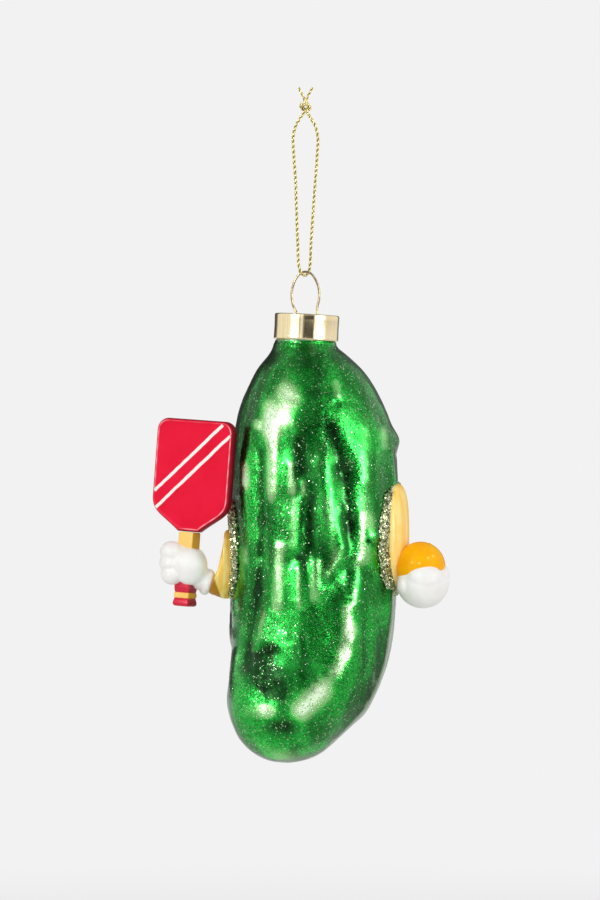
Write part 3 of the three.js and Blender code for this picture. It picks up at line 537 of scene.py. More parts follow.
# Sides and back, not seen in the photo: angle from the front, from and to as shares of the length,
# half width in degrees, height in ridges
ridges = [(-76, 0.24, 0.77, 7, 0.15), (72, 0.22, 0.82, 7, 0.8)]
ridges += [(90 + (i + 0.5) * 20, 0.22, 0.75, 6, -1 if i % 2 else 1) for i in range(9)]
# angle, share of the length, radius and height in mm
warts = [
    (84, 0.237, 3.1, 1.45), (-140, 0.201, 2.0, 0.9), (150, 0.302, 2.2, 1.0), (-165, 0.430, 2.0, 0.9),
    (128, 0.558, 2.1, 1.0), (-125, 0.640, 2.2, 0.9), (175, 0.713, 2.0, 0.8), (-105, 0.36, 1.8, 0.8),
    (108, 0.66, 1.9, 0.9), (-150, 0.56, 1.7, 0.7), (140, 0.16, 1.7, 0.7),
]


def roundRelief(angles, drop):
    # height of the side and back ridges and warts at angles in degrees and one drop in mm
    length, fade = pickle["length"], pickle["ridgeFade"]
    height = np.zeros_like(angles)
    for angle, start, end, halfWidth, size in ridges:
        across = (np.abs((angles - angle + 540) % 360 - 180)) / halfWidth
        along = ease(drop, start * length - fade, start * length + fade)
        along *= ease(-drop, -end * length - fade, -end * length + fade)
        height += pickle["ridgeHeight"] * size * along * np.exp(-across ** 2)
    for angle, at, radius, size in warts:
        across = np.radians(np.abs((angles - angle + 540) % 360 - 180)) * pickle["radius"]
        height += size * np.exp(-(across ** 2 + (drop - at * length) ** 2) / radius ** 2)
    return height


def drawnOver(ring, drawn):
    # what strokes in the front view add up to at points in mm, none on the far side
    height = np.zeros(len(ring))
    for x0, z0, x1, z1, halfWidth, size in drawn:
        run = np.array([x1 - x0, z1 - z0])
        from0 = ring[:, [0, 2]] - (x0, z0)
        share = np.clip(from0 @ run / max(run @ run, 1e-6), 0, 1)
        apart = from0 - share[:, None] * run
        height += size * np.exp(-(apart ** 2).sum(1) / halfWidth ** 2)
    return height * ease(-ring[:, 1], 0, 4)


def seededWaves(seed, count, shortest, longest):
    # directions and phases of waves between two lengths in mm
    draw = np.random.default_rng(seed)
    turns = draw.normal(size=(count, 3)) * (1, 1, 0.6)     # longer up and down than across
    turns *= (2 * math.pi / draw.uniform(shortest, longest, count) / np.linalg.norm(turns, axis=1))[:, None]
    return turns, draw.uniform(0, 2 * math.pi, count)


broadWaves, fineWaves = seededWaves(11, 26, 6, 14), seededWaves(4, 30, 1.7, 3.2)


def unevenness(ring):
    # soft waves of a few millimetres, as molten glass takes them from the mould, and fine flow marks
    height = 0
    for (turns, phases), size in ((broadWaves, pickle["wave"]), (fineWaves, pickle["ripple"])):
        height = height + np.sin(ring @ turns.T + phases).sum(1) * size * math.sqrt(2 / len(phases))
    return height


neckStep, collarLength = 0.3, 1.0
collarRadii = [7.9, 8.3]
lastRadius = stations[-1][1] * pickle["radius"]
stationPoints = [np.array([capLip[0] + right * pickle["radius"], -front * pickle["radius"],
                           capLip[2] - at * pickle["length"]]) for at, wide, right, front in stations]
shoulder = capLip - capAxis * neckStep
collar = shoulder - capAxis * collarLength
middleKeys = [shoulder, collar] + stationPoints
radiusKeys = [(r, i * 8, 0) for i, r in enumerate(collarRadii + [s[1] * pickle["radius"] for s in stations])]


def sectionRing(middle, radii, down, sides):
    # an oval ring square to the way down, from the front round by the right
    side = np.array([-down[2], 0, down[0]])
    side /= np.linalg.norm(side)
    front = np.cross(down, side)
    angle = np.arange(sides) * 2 * math.pi / sides
    return (middle + np.outer(radii * np.sin(angle), side)
            + np.outer(radii * pickle["depthRatio"] * np.cos(angle), front))


def neckRing(height, radius, sides):
    # a round ring at a height above the lip of the cap
    ring = sectionRing(capLip + capAxis * height, radius, -capAxis, sides)
    ring[:, 1] /= pickle["depthRatio"]
    return ring


def bodyRings(rows, noseRows, blend, offset, sides, detailed):
    # rings from the shoulder to the tip: centre, radius and direction first, smoothed, then the relief
    middles, radii = smoothLine(middleKeys, rows), smoothLine(radiusKeys, rows)[:, 0]
    tangents = np.gradient(middles, axis=0)
    tangents /= np.linalg.norm(tangents, axis=1)[:, None]
    drops = capLip[2] - middles[:, 2]
    level = ease(drops, *pickle["level"])[:, None]
    bent = ease(drops / pickle["length"], *pickle["bend"])[:, None]
    downs = (-capAxis * (1 - level) + np.array([0, 0, -1]) * level) * (1 - bent) + tangents * bent
    last, lastDown = middles[-1], tangents[-1]
    along = np.sin(np.arange(1, noseRows + 1) / noseRows * math.pi / 2)
    noseRadii = np.maximum(1 - along ** pickle["noseRoundness"], 0) ** pickle["nosePower"] * lastRadius
    middles = np.concatenate([middles, last + np.outer(along * pickle["nose"], lastDown)])
    radii = np.concatenate([radii, noseRadii])
    downs = np.concatenate([downs, np.tile(lastDown, (noseRows, 1))])
    free = np.zeros(len(radii), bool)
    free[int(rows * pickle["blendTop"]):len(radii) - int(noseRows * pickle["blendTip"])] = True
    for _ in range(blend):
        for values in (middles, radii, downs):
            values[1:-1][free[1:-1]] = ((values[:-2] + values[1:-1] + values[2:]) / 3)[free[1:-1]]
    degrees = (np.arange(sides) * 360 / sides + 180) % 360 - 180
    rings = []
    for middle, radius, down in zip(middles, radii, downs):
        down = down / np.linalg.norm(down)
        ring = sectionRing(middle, max(radius + offset, 0.02), down, sides)
        if detailed:
            inner = min(radius / pickle["tipRadius"], 1)
            out = ring - middle + down * (pickle["tipRadius"] - min(radius, pickle["tipRadius"]))
            out /= np.linalg.norm(out, axis=1)[:, None]
            drop = capLip[2] - middle[2]
            height = (roundRelief(degrees, drop) + drawnOver(ring, strokes) * pickle["strokeHeight"]) * inner
            ring = ring + out * (height + unevenness(ring) * ease(drop, 3, 14) * inner)[:, None]
        rings.append(ring)
    return rings


sides = pickle["sides"]
bore = pickle["neckRadius"] - pickle["wall"]
lip = [neckRing(pickle["neckTop"] - d, pickle["neckRadius"] - e, sides)
       for d, e in ((0.05, 0.65), (0.0, 0.45), (0.08, 0.2), (0.25, 0.05), (0.5, 0))]
neck = lip + [neckRing(h, pickle["neckRadius"], sides) for h in (4.5, 3, 1.5, 0.4, 0)]
blown = bodyRings(pickle["rows"], pickle["noseRows"], pickle["blend"], 0, sides, True)
outside = neck + blown
inside = [neckRing(h, bore, sides) for h in (pickle["neckTop"] - 0.25, 4, 2, -0.3)]
inside += bodyRings(24, 8, 0, -pickle["wall"] - 0.6, sides, False)[1:]
points = np.concatenate(outside + inside)
faces = gridFaces(len(outside), sides)
base = len(outside) * sides
faces += [tuple(reversed(f)) for f in gridFaces(len(inside), sides, base)]
faces += [(s, base + s, base + (s + 1) % sides, (s + 1) % sides) for s in range(sides)]
tip, innerTip = len(points), len(points) + 1
points = np.concatenate([points, [outside[-1].mean(0)], [inside[-1].mean(0)]])
for s in range(sides):
    a, b = base - sides + s, base - sides + (s + 1) % sides
    faces.append((a, b, tip))
    a, b = innerTip - 1 - sides + s, innerTip - 1 - sides + (s + 1) % sides
    faces.append((b, a, innerTip))

# The green lacquer and its glitter
lacquer = {
    "grain": 0.3,                        # mm across one grain of glitter
    "sparkCell": 0.9,                    # mm between places where a spark may lie
    "sparkDot": 0.15,                    # size of a spark as a share of its cell
    "sparksFrom": 0.9,                   # cells whose own number is above this hold a spark
    "silverFrom": 0.965,                 # grains above this are bare silver
    "cloud": 9,                          # mm, slow changes of tone
    "runWide": 6,                        # mm, the streaks that it ran down in
    "runLong": 24,
    "grainLean": 0.14,                   # how far a grain leans out of the surface
    "sparkLean": 0.5,                    # how much further a spark leans
    "reflectionWideRight": (4, 16),               # mm, the painted edge reflection widens over these places to the right
    "reflectionWideFoot": (-100, -132),           # and over these heights downwards
    "neckLine": (-59.7, -58.9),          # heights over which the lacquer ends under the cap
}
# Silvered glass, mouth blown: a wavy mirror under green lacquer and clear gloss. Fine glitter in the lacquer
# breaks the reflections into grains, some of them bare silver
glass, tree, shader, coords = newMaterial("lacquered_silvered_glass", {
    "Metallic": 1.0, "Roughness": 0.24, "Coat Weight": 0.28, "Coat Roughness": 0.15, "Coat IOR": 1.5})
grain = addNode(tree, "ShaderNodeTexVoronoi", {"feature": "F1", "Scale": 1000 / lacquer["grain"]},
                {"Vector": coords})
sparks = addNode(tree, "ShaderNodeTexVoronoi", {"feature": "F1", "Scale": 1000 / lacquer["sparkCell"]},
                 {"Vector": coords})
cloud = addNode(tree, "ShaderNodeTexNoise", {"Scale": 1000 / lacquer["cloud"], "Detail": 3.0},
                {"Vector": coords})
tint = addNode(tree, "ShaderNodeValToRGB", {"stops": [(0.3, "17922f"), (0.7, "25a63a")]},
               {"Fac": cloud.outputs["Fac"]})
grainAxes = addNode(tree, "ShaderNodeSeparateXYZ", links={0: grain.outputs["Color"]})
grainShade = addNode(tree, "ShaderNodeMapRange", {"To Min": 0.45, "To Max": 1.35},
                     {"Value": grainAxes.outputs["X"]})
# painted shade where the strokes are negative, and painted highlight where they are positive
pooled = addNode(tree, "ShaderNodeAttribute", {"attribute_name": "lacquer"})
poolShade = addNode(tree, "ShaderNodeMapRange", {
    "From Min": -0.8, "From Max": 0.8, "To Min": 0.15, "To Max": 1.85}, {"Value": pooled.outputs["Fac"]})
# and all round it ran down in soft streaks
runSize = (1000 / lacquer["runWide"], 1000 / lacquer["runWide"], 1000 / lacquer["runLong"])
stretched = addNode(tree, "ShaderNodeMapping", {"Scale": runSize}, {"Vector": coords})
runs = addNode(tree, "ShaderNodeTexNoise", {"Scale": 1.0, "Detail": 3.0, "Distortion": 0.4},
               {"Vector": stretched})
runShade = addNode(tree, "ShaderNodeMapRange", {
    "interpolation_type": "SMOOTHSTEP", "From Min": 0.36, "From Max": 0.62, "To Min": 0.55, "To Max": 1.3},
                   {"Value": runs.outputs["Fac"]})
lacquerTint = tint.outputs["Color"]
for shade in (grainShade, poolShade, runShade):
    shaded = addNode(tree, "ShaderNodeMix", {"data_type": "RGBA", "blend_type": "MULTIPLY", "Factor": 1.0},
                     {"A": lacquerTint, "B": shade.outputs["Result"]})
    lacquerTint = shaded.outputs["Result"]
# painted highlight: where the strokes are positive the green is painted pale
thin = addNode(tree, "ShaderNodeMapRange", {
    "interpolation_type": "SMOOTHSTEP", "From Min": 0.15, "From Max": 1.0, "To Min": 0.0, "To Max": 0.72},
               {"Value": pooled.outputs["Fac"]})
thinTint = addNode(tree, "ShaderNodeMix", {"data_type": "RGBA", "B": linear("c0ecab")},
                   {"Factor": thin.outputs["Result"], "A": lacquerTint})
# painted highlight at its brightest: near white and less metallic, so it shows as matt white
bareSpot = addNode(tree, "ShaderNodeMapRange", {
    "interpolation_type": "SMOOTHSTEP", "From Min": 0.9, "From Max": 1.5}, {"Value": pooled.outputs["Fac"]})
frost = addNode(tree, "ShaderNodeValToRGB", {"stops": [(0.05, "7fb868"), (0.35, "dcffcd"), (1, "f2ffea")]},
                {"Fac": grainAxes.outputs["Z"]})
bareTint = addNode(tree, "ShaderNodeMix", {"data_type": "RGBA"},
                   {"Factor": bareSpot.outputs["Result"], "A": thinTint.outputs["Result"],
                    "B": frost.outputs["Color"]})
frosted = addNode(tree, "ShaderNodeMapRange", {"To Min": 1.0, "To Max": 0.3},
                  {"Value": bareSpot.outputs["Result"]})
tree.links.new(frosted.outputs["Result"], shader.inputs["Metallic"])
silverGrain = addNode(tree, "ShaderNodeMath", {"operation": "GREATER_THAN", 1: lacquer["silverFrom"]},
                      {0: grainAxes.outputs["Y"]})
silverTint = addNode(tree, "ShaderNodeMix", {"data_type": "RGBA", "B": linear("98c78f")},
                     {"Factor": silverGrain, "A": bareTint.outputs["Result"]})
sparkAxes = addNode(tree, "ShaderNodeSeparateXYZ", links={0: sparks.outputs["Color"]})
chosen = addNode(tree, "ShaderNodeMath", {"operation": "GREATER_THAN", 1: lacquer["sparksFrom"]},
                 {0: sparkAxes.outputs["X"]})
dot = addNode(tree, "ShaderNodeMath", {"operation": "LESS_THAN", 1: lacquer["sparkDot"]},
              {0: sparks.outputs["Distance"]})
spark = addNode(tree, "ShaderNodeMath", {"operation": "MULTIPLY"}, {0: chosen, 1: dot})
sparkTint = addNode(tree, "ShaderNodeMix", {"data_type": "RGBA", "B": linear("f2f7ea")},
                    {"Factor": spark, "A": silverTint.outputs["Result"]})
# painted reflection at the edges: a grey-green rim with a thin dark line inside it, for the clear wall seen
# at a glancing angle, painted wider at the lower right
edge = addNode(tree, "ShaderNodeLayerWeight", {"Blend": 0.5})
position = addNode(tree, "ShaderNodeSeparateXYZ", links={0: coords})
toRight = addNode(tree, "ShaderNodeMapRange", {
    "From Min": lacquer["reflectionWideRight"][0] * mm, "From Max": lacquer["reflectionWideRight"][1] * mm},
                  {"Value": position.outputs["X"]})
toFoot = addNode(tree, "ShaderNodeMapRange", {
    "From Min": lacquer["reflectionWideFoot"][0] * mm, "From Max": lacquer["reflectionWideFoot"][1] * mm},
                 {"Value": position.outputs["Z"]})
thick = addNode(tree, "ShaderNodeMath", {"operation": "MULTIPLY"}, {0: toRight, 1: toFoot})
edgeShare = addNode(tree, "ShaderNodeMath", {"operation": "MULTIPLY_ADD", 1: 0.3},
                    {0: thick, 2: edge.outputs["Facing"]})
rim = addNode(tree, "ShaderNodeMapRange", {
    "interpolation_type": "SMOOTHSTEP", "From Min": 0.8, "From Max": 0.88}, {"Value": edgeShare})
rimTint = addNode(tree, "ShaderNodeMix", {"data_type": "RGBA", "B": linear("7c9a72")},
                  {"Factor": rim.outputs["Result"], "A": sparkTint.outputs["Result"]})
line = addNode(tree, "ShaderNodeValToRGB", {"stops": [(0.66, 1.0), (0.76, 0.35), (0.81, 0.35), (0.88, 1.0)]},
               {"Fac": edgeShare})
lined = addNode(tree, "ShaderNodeMix", {"data_type": "RGBA", "blend_type": "MULTIPLY", "Factor": 1.0},
                {"A": rimTint.outputs["Result"], "B": line.outputs["Color"]})
# bare silvered neck under the cap
bare = addNode(tree, "ShaderNodeMapRange", {
    "From Min": lacquer["neckLine"][0] * mm, "From Max": lacquer["neckLine"][1] * mm},
               {"Value": position.outputs["Z"]})
allTint = addNode(tree, "ShaderNodeMix", {"data_type": "RGBA", "B": linear("cfd0c8")},
                  {"Factor": bare.outputs["Result"], "A": lined.outputs["Result"]})
tree.links.new(allTint.outputs["Result"], shader.inputs["Base Color"])
# each grain lies at its own small angle, and the sparks lean further, so that they flash
surface = addNode(tree, "ShaderNodeNewGeometry")
lean = addNode(tree, "ShaderNodeVectorMath", {"operation": "SUBTRACT", 1: (0.5, 0.5, 0.5)},
               {0: grain.outputs["Color"]})
leanSize = addNode(tree, "ShaderNodeMath", {
    "operation": "MULTIPLY_ADD", 1: lacquer["sparkLean"], 2: lacquer["grainLean"]}, {0: spark})
leanScaled = addNode(tree, "ShaderNodeVectorMath", {"operation": "SCALE"}, {0: lean})
tree.links.new(leanSize.outputs[0], leanScaled.inputs["Scale"])
leant = addNode(tree, "ShaderNodeVectorMath", {"operation": "ADD"},
                {0: leanScaled, 1: surface.outputs["Normal"]})
upright = addNode(tree, "ShaderNodeVectorMath", {"operation": "NORMALIZE"}, {0: leant})
tree.links.new(upright.outputs["Vector"], shader.inputs["Normal"])

glassPiece = meshPiece("pickle_glass", points, faces, glass, "pickle", ["glass_body"])
# the strokes' painted highlights and shade go on the glass's outer points as the lacquer attribute
poured = np.zeros(len(points))
poured[len(neck) * sides:len(outside) * sides] = drawnOver(np.concatenate(blown), lacquerRuns)
glassPiece.data.attributes.new("lacquer", "FLOAT", "POINT").data.foreach_set("value", poured)
print("pickle blown:", len(points), "points")


cap = {
    "radius": 8.4,                       # mm, as are the rest
    "height": 6.7,
    "wall": 0.5,
    "edge": 0.42,                        # rounding of the top edge
    "sides": 160,
    "hole": 1.5,                         # diameter of the two holes for the wire
    "drillDepth": 3.0,
    "holeSpacing": 5.3,
    "sharp": 35,                         # degrees, edges sharper than this stay crisp
}
capTop = capLip + capAxis * cap["height"]

# Pressed brass-plated cap: thin bright metal, polished by the die, with faint drawing marks up its side
brass, tree, shader, coords = newMaterial("pressed_brass_plate", {
    "Metallic": 1.0, "Roughness": 0.1})
brushed = addNode(tree, "ShaderNodeMapping", {"Scale": (1000 / 0.35, 1000 / 0.35, 1000 / 14)},
                  {"Vector": coords})
marks = addNode(tree, "ShaderNodeTexNoise", {"Scale": 1.0, "Detail": 2.0}, {"Vector": brushed})
brassTint = addNode(tree, "ShaderNodeValToRGB", {"stops": [(0.3, "efdaa6"), (0.7, "f9e8bf")]},
                    {"Fac": marks.outputs["Fac"]})
tree.links.new(brassTint.outputs["Color"], shader.inputs["Base Color"])
brassRough = addNode(tree, "ShaderNodeMapRange", {"To Min": 0.06, "To Max": 0.2},
                     {"Value": marks.outputs["Fac"]})
tree.links.new(brassRough.outputs["Result"], shader.inputs["Roughness"])
brassBump = addNode(tree, "ShaderNodeBump", {"Strength": 0.08, "Distance": 0.00005},
                    {"Height": marks.outputs["Fac"]})
tree.links.new(brassBump.outputs["Normal"], shader.inputs["Normal"])

# its section, from the middle of the top round the rolled edge and the lip to the inside
radius, height, wall, edge = cap["radius"], cap["height"], cap["wall"], cap["edge"]
profile = [(0.001, 0), (radius * 0.5, 0), (radius - 1.0, 0.0)]
profile += [(radius - edge + edge * math.sin(angle), -edge + edge * math.cos(angle))
            for angle in np.linspace(0.05, math.pi / 2, 7)]
profile += [(radius - 0.02, -1.6), (radius - 0.06, -height / 2), (radius - 0.02, -height + 1.3),
            (radius, -height + 0.45)]
profile += [(radius + 0.02, -height + 0.22), (radius - 0.06, -height + 0.05), (radius - 0.2, -height),
            (radius - 0.38, -height + 0.05), (radius - wall, -height + 0.22)]
profile += [(radius - wall, -height + 1), (radius - wall, -wall - 0.3), (radius - wall - 0.3, -wall),
            (radius * 0.5, -wall), (0.001, -wall)]
rings = [[(out * math.cos(angle), out * math.sin(angle), up)
          for angle in np.arange(cap["sides"]) * 2 * math.pi / cap["sides"]]
         for out, up in profile]
capMesh = ringSolid(rings)
capBlank = bpy.data.objects.new("cap_blank", capMesh)
drills = bmesh.new()
for side in (-1, 1):
    bmesh.ops.create_cone(drills, cap_ends=True, segments=32, radius1=cap["hole"] / 2 * mm,
                          radius2=cap["hole"] / 2 * mm, depth=cap["drillDepth"] * mm,
                          matrix=Matrix.Translation((side * cap["holeSpacing"] / 2 * mm, 0, 0)))
drillMesh = bpy.data.meshes.new("drill")
drills.to_mesh(drillMesh)
drills.free()
drill = bpy.data.objects.new("drill", drillMesh)
for blank in (capBlank, drill):
    bpy.context.scene.collection.objects.link(blank)
cut = capBlank.modifiers.new("holes", "BOOLEAN")
cut.operation, cut.solver, cut.object = "DIFFERENCE", "EXACT", drill
bpy.context.view_layer.update()
pierced = bpy.data.meshes.new_from_object(capBlank.evaluated_get(bpy.context.evaluated_depsgraph_get()))
for blank in (capBlank, drill):
    bpy.data.objects.remove(blank)
capPlace = Matrix.Translation(Vector(capTop * mm)) @ Matrix.Rotation(capTilt, 4, "Y")
finishPiece("cap_pressed", pierced, brass, "cap", ["cap"], capPlace, cap["sharp"])

wire = {
    "diameter": 0.6,                     # mm, as are the rest
    "eyeHeight": 11.1,
    "eyeHalfWidth": 3.6,
    "legOut": 5.7,                       # how far the legs spread from the middle
    "sides": 16,
}
crown = np.array([0, 0, -41.55])         # the top of the eye, under the cord

# Spring wire, brass plated: hard-drawn, so fine marks run along it and it shines in a broken line
drawn, tree, shader, coords = newMaterial("drawn_spring_wire", {"Metallic": 1.0, "Roughness": 0.24})
drawMarks = addNode(tree, "ShaderNodeTexNoise", {"Scale": 1000 / 0.9, "Detail": 4.0}, {"Vector": coords})
drawTint = addNode(tree, "ShaderNodeValToRGB", {"stops": [(0.3, "8a785a"), (0.65, "c8b48c")]},
                   {"Fac": drawMarks.outputs["Fac"]})
tree.links.new(drawTint.outputs["Color"], shader.inputs["Base Color"])
drawBump = addNode(tree, "ShaderNodeBump", {"Strength": 0.15, "Distance": 0.00005},
                   {"Height": drawMarks.outputs["Fac"]})
tree.links.new(drawBump.outputs["Normal"], shader.inputs["Normal"])
capSide = np.array([math.cos(capTilt), 0, -math.sin(capTilt)])
half = cap["holeSpacing"] / 2
# legs out and up from the top of the cap, then the eye as shares of its half width and height
legShape = [(wire["legOut"] * 0.97, -12.5), (wire["legOut"] * 0.86, -9.5),
            (half + (wire["legOut"] - half) * 0.45, -5.25),
            (half + 0.05, -1.4), (half, 0)]
eyeShape = [(0.86, -0.82), (0.99, -0.62), (0.96, -0.4), (0.72, -0.18), (0.34, -0.03)]
wirePoints = []
for side in (-1, 1):
    leg = [capTop + capSide * side * out + capAxis * up for out, up in legShape]
    eye = [crown + np.array([side * wire["eyeHalfWidth"] * out, 0, up * wire["eyeHeight"]])
           for out, up in eyeShape]
    wirePoints += leg + eye + [crown] if side < 0 else (leg + eye)[::-1]
points, faces = tube(smoothLine(wirePoints, 320), wire["diameter"] / 2, wire["sides"])
meshPiece("wire_eye_bent", points, faces, drawn, "eye", ["wire_eye"])
print("cap and wire made")


# Where the arms leave the glass, and the middles of the fist and the ball, all as the solids have them
rightSide = np.array([23.6466, -0.1542, -110.54])
leftSide = np.array([-19.0031, -0.2716, -117.5416])
fist = leftSide + np.array([-11.6, -3.1, 0.3])
ballMiddle = rightSide + np.array([6.1, -7.2, -7.5])


def ellipsoid(middle, size, leanDegrees=0, segments=48, rings=32):
    # a closed round of three half sizes, leaning in the front view
    points = []
    lean = np.array(Matrix.Rotation(math.radians(leanDegrees), 3, "Y"))
    for i in range(1, rings):
        polar = math.pi * i / rings
        for s in range(segments):
            angle = 2 * math.pi * s / segments
            p = np.array([math.sin(polar) * math.cos(angle), math.sin(polar) * math.sin(angle),
                          math.cos(polar)])
            points.append(lean @ (p * size) + middle)
    n = len(points)
    points += [lean @ (np.array([0, 0, up]) * size) + middle for up in (1, -1)]
    faces = [tuple(reversed(f)) for f in gridFaces(rings - 1, segments)]
    for s in range(segments):
        faces.append((n, s, (s + 1) % segments))
        faces.append((n + 1, n - segments + (s + 1) % segments, n - segments + s))
    return points, faces


def paintMaterial(name, shades, settings, patch, brush):
    # hand-painted enamel: tone that pools over a few millimetres, and fine brush or spray unevenness
    material, tree, shader, coords = newMaterial(name, settings)
    pooled = addNode(tree, "ShaderNodeTexNoise", {"Scale": 1000 / patch, "Detail": 3.0, "Roughness": 0.55},
                     {"Vector": coords})
    tint = addNode(tree, "ShaderNodeValToRGB", {"stops": [(0.32, shades[0]), (0.68, shades[1])]},
                   {"Fac": pooled.outputs["Fac"]})
    strokes = addNode(tree, "ShaderNodeTexNoise", {"Scale": 1000 / brush, "Detail": 4.0}, {"Vector": coords})
    gloss = addNode(tree, "ShaderNodeMapRange", {
        "To Min": settings["Roughness"] * 0.75, "To Max": settings["Roughness"] * 1.3},
                    {"Value": strokes.outputs["Fac"]})
    bump = addNode(tree, "ShaderNodeBump", {"Strength": 0.22, "Distance": 0.00012},
                   {"Height": strokes.outputs["Fac"]})
    tree.links.new(tint.outputs["Color"], shader.inputs["Base Color"])
    tree.links.new(gloss.outputs["Result"], shader.inputs["Roughness"])
    tree.links.new(bump.outputs["Normal"], shader.inputs["Normal"])
    return material, tree, shader, coords, tint


def laterCoats(tree, shader, tint, coats):
    # colours laid over the first one, each where its mask says: paint, and painted light and shade
    for mask, hexColour in coats:
        over = addNode(tree, "ShaderNodeMix", {"data_type": "RGBA", "B": linear(hexColour)},
                       {"Factor": mask, "A": tint})
        tint = over.outputs["Result"]
    tree.links.new(tint, shader.inputs["Base Color"])


# Sprayed enamel on glass: warm yellow, smooth, with soft shine running along the arm
yellow, tree, shader, coords, tint = paintMaterial("sprayed_yellow_enamel", ("fcdc78", "fdea9c"), {
    "Roughness": 0.32, "IOR": 1.5, "Specular IOR Level": 0.3}, 6, 1.2)
# lengthways streaks of deeper orange, the pale between them a painted sheen, and painted shade round the
# cuff
stretched = addNode(tree, "ShaderNodeMapping", {"Scale": (1000 / 1.3, 1000 / 1.3, 1000 / 40)},
                    {"Vector": coords})
streaks = addNode(tree, "ShaderNodeTexNoise", {"Scale": 1.0, "Detail": 2.0}, {"Vector": stretched})
streakShare = addNode(tree, "ShaderNodeMapRange", {"From Min": 0.4, "From Max": 0.62, "To Max": 0.75},
                      {"Value": streaks.outputs["Fac"]})
cuffShade = addNode(tree, "ShaderNodeAttribute", {"attribute_name": "cuff"})
laterCoats(tree, shader, tint.outputs["Color"],
           [(streakShare.outputs["Result"], "fdbf3a"), (cuffShade.outputs["Fac"], "b87e22")])
# Brushed white enamel: thick, slightly cool and satin
white, tree, shader, coords, tint = paintMaterial("brushed_white_enamel", ("ebe9e5", "f3f2f0"), {
    "Roughness": 0.42, "IOR": 1.5, "Specular IOR Level": 0.35}, 4, 0.8)
# Glossy amber enamel: deep and even, with painted highlights: the raised dots are painted paler
amber, tree, shader, coords, tint = paintMaterial("amber_gloss_enamel", ("faaa04", "fdba0c"), {
    "Roughness": 0.25, "IOR": 1.5, "Specular IOR Level": 0.1}, 5, 1.0)
rubbed = addNode(tree, "ShaderNodeAttribute", {"attribute_name": "dots"})
laterCoats(tree, shader, tint.outputs["Color"], [(rubbed.outputs["Fac"], "ffd45c")])
# Where painted shade comes in on the right side of the handle and the grip, in mm right of the middle
paintedSides = {
    "handle": (1.98, 2.12),
    "grip": (2.05, 2.2),
}
# Brushed yellow enamel on the handle, with its right side painted browner as shade
gripYellow, tree, shader, coords, tint = paintMaterial("brushed_yellow_enamel", ("f6c264", "fbcf78"), {
    "Roughness": 0.4, "IOR": 1.5, "Specular IOR Level": 0.3}, 3, 0.7)
handleAxes = addNode(tree, "ShaderNodeSeparateXYZ", links={0: coords})
rightFace = addNode(tree, "ShaderNodeMapRange", {
    "From Min": paintedSides["handle"][0] * mm, "From Max": paintedSides["handle"][1] * mm},
                    {"Value": handleAxes.outputs["X"]})
laterCoats(tree, shader, tint.outputs["Color"], [(rightFace.outputs["Result"], "cf9a34")])
# Brushed red enamel on the grip: glossy, with its right side painted deeper as shade
red, tree, shader, coords, tint = paintMaterial("brushed_red_enamel", ("c81432", "da1f3e"), {
    "Roughness": 0.3, "IOR": 1.5, "Specular IOR Level": 0.35}, 5, 0.9)
gripAxes = addNode(tree, "ShaderNodeSeparateXYZ", links={0: coords})
gripSide = addNode(tree, "ShaderNodeMapRange", {
    "From Min": paintedSides["grip"][0] * mm, "From Max": paintedSides["grip"][1] * mm},
                   {"Value": gripAxes.outputs["X"]})
laterCoats(tree, shader, tint.outputs["Color"], [(gripSide.outputs["Result"], "9c1f33")])

# Right arm: a blunt-topped blister on the pickle's side, drawn out to a point below
rightArm = {
    "halfLength": 14.0,                  # mm, as are the next four
    "halfThickness": 3.9,
    "halfBreadth": 7.2,
    "front": 4.2,                        # how far it sits towards the front
    "sink": 0.9,                         # how deep it sits in the glass
    "turn": -14,                         # degrees
    "topPower": 2.9,                     # bluntness of each end
    "bottomPower": 2.0,
    "rings": 70,
    "sides": 96,
}
turn, sides = math.radians(rightArm["turn"]), rightArm["sides"]
armMiddle = rightSide + np.array([-rightArm["sink"], -rightArm["front"], 0])
rings = []
for at in np.sin(np.linspace(-1, 1, rightArm["rings"]) * math.pi / 2) * 0.9995:
    power = rightArm["topPower"] if at > 0 else rightArm["bottomPower"]
    share = (1 - abs(at) ** power) ** (1 / power)
    angle = np.arange(sides) * 2 * math.pi / sides
    out = np.sign(np.cos(angle)) * np.abs(np.cos(angle)) ** 0.9 * rightArm["halfThickness"] * share ** 0.8
    along = np.sin(angle) * rightArm["halfBreadth"] * share
    # two faint lengthways ridges, left by the mould
    out = (out + 0.12 * share * np.exp(-((along - 1.2) / 0.7) ** 2)
           + 0.1 * share * np.exp(-((along + 2.6) / 0.7) ** 2))
    rings.append(np.stack([out * math.cos(turn) - along * math.sin(turn),
                           out * math.sin(turn) + along * math.cos(turn),
                           np.full(sides, at * rightArm["halfLength"])], axis=1) + armMiddle)
finishPiece("right_arm_blister", ringSolid(rings), yellow, "pickle", ["right_arm"])

# Left sleeve, from inside the glass out to the cuff
sleeve = {
    "front": 3.1,                        # mm that the cuff sits towards the front
    "out": 4.9,                          # mm that the cuff stands out from the glass
    "steps": 40,
    "sides": 96,
    "sharp": 50,                         # degrees
}
# its sections: out, up, lean in degrees, half height, half depth
sleeveSections = [
    (-3.2, 0, 0, 9.0, 4.7), (1.6, -0.1, 0, 8.9, 4.4), (2.83, -1.6, 4, 6.95, 4.0), (3.9, -3.2, 9, 4.85, 3.5),
    (4.9, -4.5, 21, 3.1, 3.1),
]
sides = sleeve["sides"]
sleeveKeys = (smoothLine([s[:3] for s in sleeveSections], sleeve["steps"]),
              smoothLine([(s[3], s[4], 0) for s in sleeveSections], sleeve["steps"]))
rings = []
for (out, up, leanBy), (high, deep, _) in zip(*sleeveKeys):
    angle = np.arange(sides) * 2 * math.pi / sides
    leanBy = math.radians(leanBy)
    rings.append(np.stack([leftSide[0] - out + high * np.sin(angle) * math.sin(leanBy),
                           leftSide[1] - sleeve["front"] * max(0, out) / sleeve["out"]
                           + deep * np.cos(angle),
                           leftSide[2] + up + high * np.sin(angle) * math.cos(leanBy)], axis=1))
endMiddle = rings[-1].mean(0)
